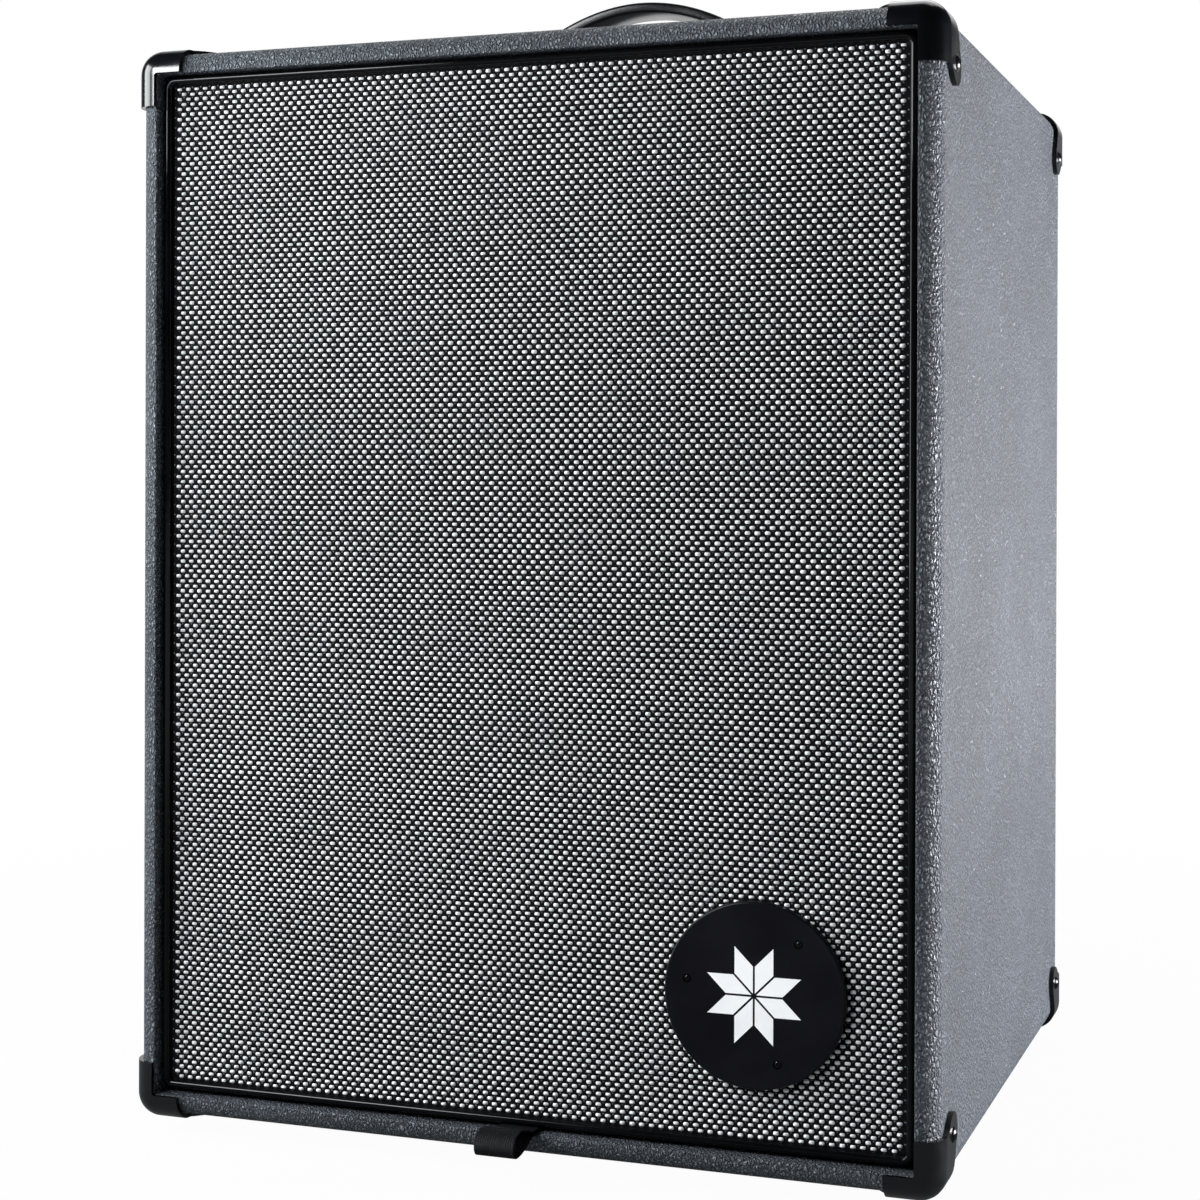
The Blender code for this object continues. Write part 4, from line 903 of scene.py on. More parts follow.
strap = add_box(
    "strap_handle",
    (-STRAP_HALF, -STRAP_WIDE / 2, -STRAP_THICK / 2),
    (STRAP_HALF, STRAP_WIDE / 2, STRAP_THICK / 2),
)
pick_long_edges(edit(strap), STRAP_HALF)
bpy.ops.mesh.bevel(offset=STRAP_EDGE, segments=4, affect="EDGES")
leave_edit(strap)
mesh = edit(strap, "FACE")
for face in mesh.faces:
    face.select = face.normal.z > 0.99
bpy.ops.mesh.inset(thickness=GROOVE_IN, depth=0)
bpy.ops.mesh.inset(thickness=GROOVE_WIDE, depth=-GROOVE_DEEP)
leave_edit(strap)
pick_long_edges(edit(strap), STRAP_HALF)
bpy.ops.mesh.subdivide(number_cuts=STRAP_CUTS)
leave_edit(strap)
for vertex in strap.data.vertices:
    across = vertex.co.x
    slope = (strap_height(across + 1e-4) - strap_height(across - 1e-4)) / 2e-4
    normal = Vector((-slope, 0, 1)).normalized()
    seat = Vector((across, strap_middle + vertex.co.y, TOP + strap_height(across)))
    vertex.co = seat + normal * vertex.co.z
tidy_faces(strap)
soften(strap, 40, weighted=False)
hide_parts("handle_strap")
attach(strap, "cabinet")
report(strap)

# %% Handle caps
CAP_EDGE = 0.0030
MOUTH_INNER, MOUTH_OUTER = 0.101, 0.111
ENTRY_AT, ENTRY_LEAN = 0.112, math.radians(-35)


def handle_cap(side, sign):
    """A cap with a mouth that the strap runs into, and its screw."""
    low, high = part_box(f"handle_cap_{side}")
    cap = add_box(f"cap_{side}", low, high)
    mesh = edit(cap)
    for edge in mesh.edges:
        heights = [v.co.z for v in edge.verts]
        edge.select = min(heights) > high.z - 1e-5 or max(heights) - min(heights) > 0.005
    bpy.ops.mesh.bevel(offset=CAP_EDGE, segments=6, affect="EDGES")
    leave_edit(cap)
    mouth = TOP + strap_height(MOUTH_OUTER) + STRAP_THICK / 2 + 0.0004
    half = STRAP_WIDE / 2 + 0.0005
    near, far = sorted((sign * MOUTH_INNER, sign * (STRAP_HALF + 0.0005)))
    slot = add_box("trim_slot", (near, strap_middle - half, TOP - 0.002), (far, strap_middle + half, mouth))
    entry = add_box("trim_entry", (-0.004, -half, -0.006), (0.004, half, 0.006))
    entry.location = (sign * ENTRY_AT, strap_middle, mouth - 0.0035)
    entry.rotation_euler = (0, sign * ENTRY_LEAN, 0)
    combine(cap, [slot, settle(entry)], "DIFFERENCE")
    tidy_faces(cap)
    round_edges(cap, 0.0004, 2, 45)
    soften(cap, 35)
    centre = Vector(((low.x + high.x) / 2 + sign * 0.006, strap_middle, high.z - 0.0006))
    head = stand_screw(screw, f"cap_{side}_screw", centre, (0, 0, 1), 0.9 * sign)
    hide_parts(f"handle_cap_{side}")
    for piece in (cap, head):
        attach(piece, "cabinet")
    report(cap)
    return cap, head


cap_pieces = [*handle_cap("left", -1), *handle_cap("right", 1)]

# %% [markdown]
# The grille is a frame that lifts out, with cloth stretched over it. A glossy bead runs round its edge in
# one closed loop. The bead could be a long cylinder bent four times. A curve with a round bevel is simpler:
# it follows a rounded rectangle and always keeps its thickness.

# %% Grille bead
bead_low, bead_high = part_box("grille_piping")
BEAD = 0.0022
BEAD_BEND, BEAD_AT = 0.0048, FRONT + 0.0075
bead = rounded_frame(
    "grille_bead",
    (bead_high.x - bead_low.x) / 2 - BEAD,
    bead_low.z + BEAD,
    bead_high.z - BEAD,
    BEAD_BEND,
    BEAD_AT,
    10,
)
edit(bead, "FACE")
bpy.ops.mesh.select_all(action="SELECT")
bpy.ops.mesh.delete(type="ONLY_FACE")
leave_edit(bead)
pick(bead)
bpy.ops.object.convert(target="CURVE")
bead = bpy.context.object
bead.data.bevel_depth = BEAD
bead.data.bevel_resolution = 4
bpy.ops.object.convert(target="MESH")
bead = bpy.context.object
settle(bead)
tidy_faces(bead)
soften(bead, 60, weighted=False)
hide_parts("grille_piping")
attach(bead, "grille")
report(bead)

# %% [markdown]
# The cloth is a coarse basket weave. Thick silver yarns come up over a black ground as small pillows, set
# like bricks, and a thin yarn shows as a faint dot below each. At this size the pillows catch the light one
# by one, so they are real shapes and not paint: one pillow is modelled with a few faces and then repeated by
# array modifiers. The ground and the dots are the material of the sheet behind.

# %% Grille cloth
cloth_low, cloth_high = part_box("grille_cloth")
PITCH_X, PITCH_Z = 0.005395, 0.00562
FIRST_X, FIRST_Z = 0.0488, BASE + 0.3469
CLOTH_GROUND = FRONT + 0.0093
cloth = rounded_frame("grille_cloth_ground", cloth_high.x, cloth_low.z, cloth_high.z, 0.003, CLOTH_GROUND, 5)
apply_modifier(cloth, "SOLIDIFY", thickness=0.0004, offset=1.0)
tidy_faces(cloth)
report(cloth)

# %% One pillow of yarn
FLOAT_WIDE, FLOAT_TALL, FLOAT_RISE = 0.00308, 0.00204, 0.00145


def float_pillow():
    """A raised float: an eight-sided outline pushed forward, narrowed, and drawn up to a crown."""
    clear_selection()
    bpy.ops.mesh.primitive_plane_add(size=1, rotation=(math.radians(90), 0, 0), location=(0, 0, 0))
    piece = bpy.context.object
    piece.name = "float_pattern"
    piece.scale = (FLOAT_WIDE, FLOAT_TALL, 1)
    settle(piece)
    edit(piece, "VERT")
    bpy.ops.mesh.select_all(action="SELECT")
    bpy.ops.mesh.bevel(offset=0.00050, segments=1, affect="VERTICES")
    bpy.ops.mesh.select_mode(type="FACE")
    for rise, wide, tall in ((0.46, 0.90, 0.86), (0.42, 0.60, 0.58)):
        bpy.ops.mesh.extrude_region_move(TRANSFORM_OT_translate={"value": (0, -rise * FLOAT_RISE, 0)})
        bpy.ops.transform.resize(value=(wide, 1, tall), center_override=(0, 0, 0))
    bpy.ops.mesh.poke(offset=0.10 * FLOAT_RISE)
    leave_edit(piece)
    return tidy_faces(piece)


pattern = float_pillow()
report(pattern)

# %% Repeat the pillow over the cloth
def along(first, pitch, low, high):
    """How many steps before and after the first place fit between two limits."""
    before = math.floor((first - low) / pitch)
    after = math.floor((high - first) / pitch)
    return first - before * pitch, before + after + 1


def pillow_field(name, shift, low, high):
    """Rows and columns of pillows between two heights, shifted by a share of the pitch."""
    edge = cloth_high.x - FLOAT_WIDE / 2 - 0.0002
    start_x, columns = along(FIRST_X + shift * PITCH_X, PITCH_X, -edge, edge)
    start_z, rows = along(FIRST_Z + shift * PITCH_Z, PITCH_Z, low, high)
    field = copy_of(pattern, name)
    field.location = (start_x, CLOTH_GROUND, start_z)
    settle(field)
    for count, step in ((columns, (PITCH_X, 0, 0)), (rows, (0, 0, PITCH_Z))):
        apply_modifier(
            field,
            "ARRAY",
            count=count,
            use_relative_offset=False,
            use_constant_offset=True,
            constant_offset_displace=step,
        )
    return field, columns * rows


def loosen(field, count, seed):
    """Vary each pillow a little in width, height, rise and lean, as hand-fed yarn does."""
    chance = np.random.default_rng(seed)
    points = np.empty(len(field.data.vertices) * 3)
    field.data.vertices.foreach_get("co", points)
    points = points.reshape(count, -1, 3)
    middle = points.mean(axis=1, keepdims=True)
    middle[:, :, 1] = CLOTH_GROUND
    away = points - middle
    away[:, :, 0] *= chance.normal(1.0, 0.03, (count, 1)).clip(0.92, 1.06)
    away[:, :, 2] *= chance.normal(0.99, 0.08, (count, 1)).clip(0.76, 1.06)
    away[:, :, 1] *= chance.uniform(0.80, 1.0, (count, 1))
    lean = chance.normal(0.0, 0.05, (count, 2, 1))
    away[:, :, 1] *= 1 + (away[:, :, 0] * lean[:, 0] + away[:, :, 2] * lean[:, 1]) / 0.002
    drift = chance.normal(0.0, 0.00005, (count, 1, 2))
    middle[:, :, 0] += drift[:, :, 0]
    middle[:, :, 2] += drift[:, :, 1]
    field.data.vertices.foreach_set("co", (middle + away).reshape(-1))
    field.data.update()


cloth_fields = []
half_way = (cloth_low.z + cloth_high.z) / 2
rim_z = FLOAT_TALL / 2 + 0.0002
for number, (title, shift) in enumerate((("square", 0.0), ("staggered", 0.5))):
    divide = half_way - PITCH_Z / 2 * (0.999 - shift)
    for part, low, high in (
        ("lower", cloth_low.z + rim_z, divide),
        ("upper", divide, cloth_high.z - rim_z),
    ):
        field, count = pillow_field(f"cloth_yarn_{title}_{part}", shift, low, high)
        loosen(field, count, 11 + 2 * number + (part == "upper"))
        soften(field, 80, weighted=False)
        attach(field, "grille")
        cloth_fields.append(field)
        report(field)
bpy.data.objects.remove(pattern, do_unlink=True)
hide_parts("grille_cloth")
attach(cloth, "grille")
cloth_size = cloth_high - cloth_low
print("cloth", round(cloth_size.x * 1000, 1), "by", round(cloth_size.z * 1000, 1), "mm")

# %% [markdown]
# The badge is a thick satin disc held by three small screws. Its print is a plain quilt star of eight
# lozenges in white. One lozenge is a square primitive squeezed to the right angle, and the other seven are
# turned copies.

# %% Round badge
badge_low, badge_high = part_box("grille_badge")
badge_centre = Vector(((badge_low.x + badge_high.x) / 2, badge_low.y, (badge_low.z + badge_high.z) / 2))
BADGE_RADIUS = (badge_high.x - badge_low.x) / 2
BADGE_THICK = badge_high.y - badge_low.y
badge = add_disc("round_badge", BADGE_RADIUS, 0, BADGE_THICK, (0, 0, 0), 128)
mesh = edit(badge, "EDGE")
for edge in mesh.edges:
    edge.select = all(v.co.z > BADGE_THICK - 1e-6 for v in edge.verts)
bpy.ops.mesh.bevel(offset=0.0012, segments=5, affect="EDGES")
leave_edit(badge)
to_viewer = Matrix.Rotation(math.radians(90), 4, "X")
TOWARDS = Matrix.Translation(badge_centre + Vector((0, BADGE_THICK, 0))) @ to_viewer
SCREW_RING, SCREW_TURNS = 0.0366, (50, 170, 290)
HOLE_RADIUS, HOLE_DEEP = 0.0023, 0.0009


def on_screw_ring(turn, height):
    """The place of a badge screw, in the badge's own directions."""
    angle = math.radians(turn)
    return Vector((SCREW_RING * math.cos(angle), SCREW_RING * math.sin(angle), height))


holes = []
for turn in SCREW_TURNS:
    low, high = BADGE_THICK - HOLE_DEEP, BADGE_THICK + 0.002
    holes.append(add_disc("trim_hole", HOLE_RADIUS, low, high, on_screw_ring(turn, 0), 28))
combine(badge, holes, "DIFFERENCE")
tidy_faces(badge)
badge.matrix_world = TOWARDS
settle(badge)
soften(badge, 35)
report(badge)

# %% Badge screws and star
badge_screw = domed_screw("badge_screw_pattern", 0.0021, 0.0009, 24)
heads = []
for turn in SCREW_TURNS:
    spot = TOWARDS @ on_screw_ring(turn, BADGE_THICK - 0.00085)
    heads.append(stand_screw(badge_screw, f"badge_screw_{turn}", spot, (0, -1, 0), 0.4 * turn))
badge_screws = join(heads, "badge_screws")
bpy.data.objects.remove(badge_screw, do_unlink=True)
STAR_REACH = 0.0285
LOZENGE_LONG = STAR_REACH * 0.90
EIGHTH = math.radians(45)
INK = 0.00012
lozenges = []
for n in range(8):
    clear_selection()
    bpy.ops.mesh.primitive_plane_add(size=math.sqrt(0.5), location=(0, 0, 0), rotation=(0, 0, EIGHTH))
    lozenge = bpy.context.object
    settle(lozenge)
    lozenge.scale = (LOZENGE_LONG, LOZENGE_LONG * math.tan(math.radians(22.5)), 1)
    lozenge.location = (STAR_REACH / 2, 0, 0)
    settle(lozenge)
    lozenge.rotation_euler = (0, 0, math.radians(45 * n + 22.5))
    settle(lozenge)
    lozenges.append(lozenge)
star = join(lozenges, "badge_star")
edit(star, "FACE")
bpy.ops.mesh.select_all(action="SELECT")
bpy.ops.mesh.extrude_region_move(TRANSFORM_OT_translate={"value": (0, 0, INK)})
leave_edit(star)
star.matrix_world = TOWARDS @ Matrix.Translation((0, 0, BADGE_THICK - 0.00002))
settle(star)
tidy_faces(star)
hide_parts("grille_badge")
for piece in (badge, badge_screws, star):
    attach(piece, "grille")
report(star)

# %% [markdown]
# A webbing loop under the grille is what a hand pulls to take the grille off. It is a flat woven tape: a
# grid with its own UV map is laid along the loop's path, so that the weave follows the tape, and then gets
# its thickness.

# %% Pull tab
tab_low, tab_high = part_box("pull_tab")
tab_middle = (tab_low.x + tab_high.x) / 2
TAB_WIDE = tab_high.x - tab_low.x
TAB_THICK = 0.0009
TAB_LOWER = WALL + 0.0003 + TAB_THICK / 2
TAB_UPPER = TAB_LOWER + TAB_THICK + 0.0002
TAB_PATH = (
    (0.0200, TAB_UPPER), (0.0060, TAB_UPPER), (-0.0020, TAB_UPPER + 0.0006), (-0.0100, 0.0170),
    (-0.0185, 0.0192), (-0.0262, 0.0182), (-0.0305, 0.0140), (-0.0300, 0.0095), (-0.0262, 0.0073),
    (-0.0180, 0.0077), (-0.0090, 0.0102), (-0.0020, TAB_LOWER), (0.0060, TAB_LOWER), (0.0200, TAB_LOWER),
)
path = curved(TAB_PATH, 8)
steps = len(path) - 1
clear_selection()
bpy.ops.mesh.primitive_grid_add(x_subdivisions=steps, y_subdivisions=10, size=1, calc_uvs=True)
tab = bpy.context.object
tab.name = "webbing_pull_tab"
for vertex in tab.data.vertices:
    here = path[round((vertex.co.x + 0.5) * steps)]
    vertex.co = (tab_middle + vertex.co.y * TAB_WIDE, FRONT + here.x, BASE + here.y)
apply_modifier(tab, "SOLIDIFY", thickness=TAB_THICK - 0.00004, offset=0)
edit(tab, "EDGE")
bpy.ops.mesh.select_all(action="SELECT")
bpy.ops.mesh.normals_make_consistent(inside=False)
leave_edit(tab)
soften(tab, 50, weighted=False)
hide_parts("pull_tab")
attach(tab, "grille")
TAB_LENGTH = sum((b - a).length for a, b in zip(path, path[1:]))
print("webbing length", round(TAB_LENGTH * 1000, 1), "mm")
report(tab)
bpy.data.objects.remove(screw, do_unlink=True)

# %% [markdown]
# The hard black pieces are painted, powder coated or moulded. Such a skin is never quite even: it has a fine
# pebble, and its gloss drifts from place to place. One group gives both, and each finish picks its own size.

# %% Fine pebble group
pebble, start, end = start_group(
    "fine_pebble",
    (("Vector", VECTOR, None), ("Cell Size", NUMBER, 0.0008)),
    (("Height", NUMBER), ("Cloud", NUMBER)),
)
cells = scaled(start.outputs["Vector"], start.outputs["Cell Size"])
peel = noise_at(cells, 1.0, 3.0, 0.6)
join_up(peel.outputs["Fac"], end.inputs["Height"])
cloud = noise_at(start.outputs["Vector"], 22.0, 4.0, 0.6)
drift = spread(cloud.outputs["Fac"], 0.35, 0.65)
join_up(drift, end.inputs["Cloud"])
print("fine_pebble nodes", len(pebble.nodes))

# %% Pebbled finishes
def pebbled(name, dark, pale, smooth, rough, cell, depth, **shader_values):
    """A skin of two close tones, with a gloss that drifts between two values and a fine relief."""
    paint, tree, shader = start_finish(name, rough, **shader_values)
    skin = place_group(pebble, object_place(tree), cell_size=cell)
    join_up(blend_colours(skin.outputs["Cloud"], dark, pale), shader.inputs["Base Color"])
    join_up(spread(skin.outputs["Cloud"], 0, 1, smooth, rough), shader.inputs["Roughness"])
    relief(shader, skin.outputs["Height"], depth)
    return paint, tree, shader


def dress_pebbled(*rows):
    """Make a pebbled finish from each row, and give it to the row's pieces."""
    for *values, specular, pieces in rows:
        paint = pebbled(*values, specular_ior_level=specular)[0]
        dress(paint, *pieces)
        print(paint.name, "on", len(pieces), "pieces")


PLAIN_SPECULAR = 0.5
cap_skins = [p for p in cap_pieces if "screw" not in p.name]
cap_heads = [p for p in cap_pieces if "screw" in p.name]
dress_pebbled(
    (
        "satin_black_steel", (0.0022, 0.0024, 0.0036), (0.0036, 0.0038, 0.0056),
        0.17, 0.24, 0.0009, 0.000012, PLAIN_SPECULAR, corner_pieces + cap_skins,
    ),
    (
        "blackened_screw", (0.003, 0.003, 0.004), (0.006, 0.006, 0.007),
        0.10, 0.18, 0.0005, 0.000008, 0.16, [*screw_pieces, *cap_heads, badge_screws],
    ),
    (
        "strap_vinyl", (0.0026, 0.0028, 0.0036), (0.0040, 0.0042, 0.0052),
        0.16, 0.24, 0.0012, 0.00003, 0.35, [strap],
    ),
    (
        "glossy_bead", (0.0018, 0.0018, 0.0022), (0.0030, 0.0030, 0.0034),
        0.07, 0.11, 0.004, 0.00002, 0.14, [bead],
    ),
    (
        "badge_black", (0.0026, 0.0026, 0.0046), (0.0040, 0.0040, 0.0068),
        0.28, 0.36, 0.0010, 0.00001, 0.14, [badge],
    ),
)

# %% [markdown]
# The cloth's ground is woven from thin black yarn. Below each pillow a thin grey yarn crosses it and shows
# as a dot. The dots could be more geometry, but they lie flat, so they are worked out from Object
# coordinates on the same two grids that the pillows stand on.

# %% Position helpers
def axes(vector):
    """The three parts of a vector."""
    made = place_node(vector.id_data, "ShaderNodeSeparateXYZ")
    join_up(vector, made.inputs[0])
    return made.outputs


def below(value, limit):
    """1 where a value is less than a limit, else 0."""
    return calculate("LESS_THAN", value, limit)


def above(value, limit):
    """1 where a value is more than a limit, else 0."""
    return calculate("GREATER_THAN", value, limit)


def between(value, low, high):
    """1 where a value lies between two limits, else 0."""
    return calculate("MULTIPLY", above(value, low), below(value, high))


def unsigned(value):
    """The value without its sign."""
    return calculate("ABSOLUTE", value)


def in_step(value, first, pitch):
    """Distance to the nearest place in an even row, in metres."""
    moved = calculate("SUBTRACT", value, first - pitch / 2)
    left = calculate("FLOORED_MODULO", moved, pitch)
    return calculate("SUBTRACT", left, pitch / 2)


def reach_of(across, up):
    """Length of a flat vector of two parts."""
    both = place_node(across.id_data, "ShaderNodeCombineXYZ")
    join_up(across, both.inputs[0])
    join_up(up, both.inputs[1])
    made = place_node(across.id_data, "ShaderNodeVectorMath", operation="LENGTH")
    join_up(both.outputs[0], made.inputs[0])
    return made.outputs["Value"]


print("position helpers ready")

# %% Black cloth ground
DOT_COLOUR = (0.17, 0.17, 0.18)
DOT_DROP, DOT_RADIUS = 0.00177, 0.00043
GROUND_LOW, GROUND_HIGH = (0.0008, 0.0008, 0.0012), (0.004, 0.004, 0.005)
ground, tree, shader = start_finish("cloth_ground", 0.9, specular_ior_level=0.1)
spot = object_place(tree)
where = axes(spot)
dot_grids = []
for shift in (0.0, 0.5):
    across = in_step(where["X"], FIRST_X + shift * PITCH_X, PITCH_X)
    up = in_step(where["Z"], FIRST_Z + shift * PITCH_Z - DOT_DROP, PITCH_Z)
    reach = reach_of(across, up)
    dot_grids.append(spread(reach, DOT_RADIUS * 0.6, DOT_RADIUS * 1.2, 1, 0))
dots = calculate("MAXIMUM", *dot_grids)
fibres = place_group(pebble, spot, cell_size=0.0005)
base = blend_colours(fibres.outputs["Height"], GROUND_LOW, GROUND_HIGH)
lit = spread(fibres.outputs["Cloud"], 0, 1, 0.35, 1.0)
share = calculate("MULTIPLY", dots, lit)
join_up(blend_colours(share, base, DOT_COLOUR), shader.inputs["Base Color"])
relief(shader, calculate("ADD", fibres.outputs["Height"], dots), 0.00015)
dress(ground, cloth)
print("cloth ground nodes", len(tree.nodes))

# %% Silver yarn
YARN_PALE = (0.80, 0.81, 0.82)
YARN_MID = (0.68, 0.69, 0.71)
YARN_DARK = (0.26, 0.26, 0.28)
STRANDS = {"Scale": 330.0, "Distortion": 1.6, "Detail": 2.0, "Detail Scale": 1.5}
silver, tree, shader = start_finish("silver_yarn", 0.28, specular_ior_level=0.9)
spot = object_place(tree)
threads = place_node(tree, "ShaderNodeTexWave", bands_direction="Z")
join_up(spot, threads.inputs["Vector"])
for title, value in STRANDS.items():
    threads.inputs[title].default_value = value
fuzz = place_group(pebble, spot, cell_size=0.0006)
pale = blend_colours(fuzz.outputs["Cloud"], YARN_PALE, YARN_MID)
strand = spread(threads.outputs["Fac"], 0.0, 0.5, 0.30, 0.0)
join_up(blend_colours(strand, pale, YARN_DARK), shader.inputs["Base Color"])
relief(shader, calculate("ADD", threads.outputs["Fac"], fuzz.outputs["Height"]), 0.00006)
dress(silver, *cloth_fields)
print("silver yarn on", len(cloth_fields), "pieces")

# %% [markdown]
# The star is a plain white print. Screen ink sits on the disc with a slightly grainy edge, so it gets a fine
# pebble and two close whites. The pull tab is black webbing: its weave follows the tape's own UV map, in
# metres along and across.

# %% White print
dress_pebbled(
    (
        "white_print", (0.84, 0.85, 0.86), (0.92, 0.92, 0.93),
        0.45, 0.6, 0.0004, 0.00002, PLAIN_SPECULAR, [star],
    ),
)

# %% Black webbing
RIB_ALONG, RIB_ACROSS = 0.0016, 0.0013
webbing, tree, shader = start_finish("black_webbing", 0.6, specular_ior_level=0.15)
own_map = place_node(tree, "ShaderNodeTexCoord")
tape = axes(own_map.outputs["UV"])
turns_along = calculate("MULTIPLY", tape["X"], 2 * math.pi * TAB_LENGTH / RIB_ALONG)
turns_across = calculate("MULTIPLY", tape["Y"], 2 * math.pi * TAB_WIDE / RIB_ACROSS)
twill = calculate("ADD", turns_along, turns_across)
weave = calculate("ADD", calculate("SINE", twill), calculate("SINE", turns_across))
shade = spread(weave, -1.6, 1.6)
colour = blend_colours(shade, (0.0012, 0.0012, 0.0022), (0.0068, 0.0066, 0.0088))
join_up(colour, shader.inputs["Base Color"])
relief(shader, weave, 0.00006)
dress(webbing, tab)
print("webbing ribs every", RIB_ALONG * 1000, "mm")

# %% [markdown]
# The pieces that the grille hides are finished too, because it can be pulled off and the object is seen from
# every side. Wood gets a long grain: noise stretched along the board. Plywood shows its layers on the edges,
# which are bands across its thickness.

# %% Wood grain group
wood, start, end = start_group(
    "wood_grain",
    (("Vector", VECTOR, None), ("Cell Size", NUMBER, 0.006)),
    (("Tone", NUMBER), ("Pores", NUMBER)),
)
cells = scaled(start.outputs["Vector"], start.outputs["Cell Size"])
drawn = place_node(wood, "ShaderNodeMapping")
drawn.inputs["Scale"].default_value = (0.05, 1.0, 1.0)
join_up(cells, drawn.inputs["Vector"])
rings = noise_at(drawn.outputs[0], 0.8, 4.0, 0.55)
pores = noise_at(drawn.outputs[0], 9.0, 2.0, 0.7)
join_up(spread(rings.outputs["Fac"], 0.35, 0.68), end.inputs["Tone"])
join_up(spread(pores.outputs["Fac"], 0.52, 0.70), end.inputs["Pores"])
print("wood_grain nodes", len(wood.nodes))

# %% Bare plywood
BIRCH_DARK, BIRCH_PALE = (0.50, 0.33, 0.18), (0.62, 0.45, 0.27)
BIRCH_PORE, BIRCH_GLUE = (0.36, 0.22, 0.11), (0.25, 0.14, 0.07)
PLY = 0.0022


def plywood(name, thickness_axis):
    """Birch faces with fine pores, and pale and dark layers on the edges."""
    paint, tree, shader = start_finish(name, 0.6)
    spot = object_place(tree)
    grain = place_group(wood, spot, cell_size=0.008)
    face = blend_colours(grain.outputs["Tone"], BIRCH_DARK, BIRCH_PALE)
    face = blend_colours(grain.outputs["Pores"], face, BIRCH_PORE)
    layers = in_step(axes(spot)[thickness_axis], 0.0, PLY)
    edge = below(unsigned(layers), PLY * 0.16)
    turned = place_node(tree, "ShaderNodeNewGeometry")
    facing = unsigned(axes(turned.outputs["Normal"])[thickness_axis])
    mask = calculate("MULTIPLY", edge, below(facing, 0.5))
    join_up(blend_colours(mask, face, BIRCH_GLUE), shader.inputs["Base Color"])
    relief(shader, grain.outputs["Pores"], -0.00008)
    return paint


dress(plywood("shelf_plywood", "Z"), "amp_shelf")
dress(plywood("bulkhead_plywood", "Y"), "amp_bulkhead")
print("plywood finished")

# %% [markdown]
# The rear panel is covered in the same leatherette as the cabinet, and the hidden boards are painted black.
# The rubber feet and the loudspeakers' rubber are matt with a faint bloom. The mouldings are plain black
# plastic with a spark-eroded texture, and the baskets are enamelled steel.

# %% Boards, rubber, plastic and steel
dress(leatherette, "rear_panel")
feet = [f"foot_{end_name}_{side}" for end_name in ("front", "rear") for side in ("left", "right")]
dress_pebbled(
    (
        "black_board_paint", (0.012, 0.012, 0.013), (0.020, 0.020, 0.021),
        0.55, 0.75, 0.0011, 0.00014, PLAIN_SPECULAR, ["baffle_board", "grille_frame"],
    ),
    (
        "foot_rubber", (0.016, 0.016, 0.016), (0.026, 0.025, 0.024),
        0.62, 0.78, 0.0006, 0.00006, PLAIN_SPECULAR, feet,
    ),
    (
        "surround_rubber", (0.014, 0.014, 0.015), (0.022, 0.022, 0.022),
        0.38, 0.52, 0.0009, 0.00004, PLAIN_SPECULAR, ["upper_woofer_surround", "lower_woofer_surround"],
    ),
    (
        "moulded_black", (0.014, 0.014, 0.015), (0.019, 0.019, 0.020),
        0.40, 0.52, 0.0005, 0.00003, PLAIN_SPECULAR, ["horn_flare", "port_tube", "fan_frame", "fan_rotor"],
    ),
    (
        "black_steel", (0.014, 0.014, 0.015), (0.022, 0.022, 0.023),
        0.30, 0.42, 0.0008, 0.00002, PLAIN_SPECULAR,
        ["upper_woofer_basket", "lower_woofer_basket", "horn_driver"],
    ),
)

# %% [markdown]
# Bare metal inside the amplifier is rolled or extruded, so its gloss is drawn out in one direction. The
# group stretches noise along X. The chassis is zinc plated sheet, and the heat sink is plain aluminium.

# %% Drawn metal group
drawn_metal, start, end = start_group(
    "drawn_metal",
    (("Vector", VECTOR, None), ("Cell Size", NUMBER, 0.0006)),
    (("Height", NUMBER), ("Cloud", NUMBER)),
)
cells = scaled(start.outputs["Vector"], start.outputs["Cell Size"])
stretched = place_node(drawn_metal, "ShaderNodeMapping")
stretched.inputs["Scale"].default_value = (0.02, 1.0, 1.0)
join_up(cells, stretched.inputs["Vector"])
lines = noise_at(stretched.outputs[0], 1.0, 3.0, 0.6)
patch = noise_at(start.outputs["Vector"], 30.0, 3.0, 0.6)
join_up(lines.outputs["Fac"], end.inputs["Height"])
join_up(patch.outputs["Fac"], end.inputs["Cloud"])


def bare_metal(name, dark, pale, smooth, rough):
    """A metal of two close tones, with its gloss and a fine relief drawn out along X."""
    paint, tree, shader = start_finish(name, rough, 1.0)
    rolled = place_group(drawn_metal, object_place(tree), cell_size=0.0006)
    join_up(blend_colours(rolled.outputs["Cloud"], dark, pale), shader.inputs["Base Color"])
    gloss = spread(rolled.outputs["Height"], 0.3, 0.7, smooth, rough)
    join_up(gloss, shader.inputs["Roughness"])
    relief(shader, rolled.outputs["Height"], 0.00001)
    return paint


dress(bare_metal("zinc_sheet", (0.46, 0.47, 0.48), (0.60, 0.61, 0.61), 0.28, 0.42), "amp_chassis")
dress(bare_metal("extruded_aluminium", (0.62, 0.63, 0.64), (0.74, 0.75, 0.75), 0.26, 0.40), "heat_sink")
print("bare metals finished")

# %% [markdown]
# Some nodes are one solid of several materials, such as a socket with its nut or a board with its parts. A
# second finish is laid over the first by a mask of place. The mask is made from limits in metres along an
# axis, read from the piece's own box.

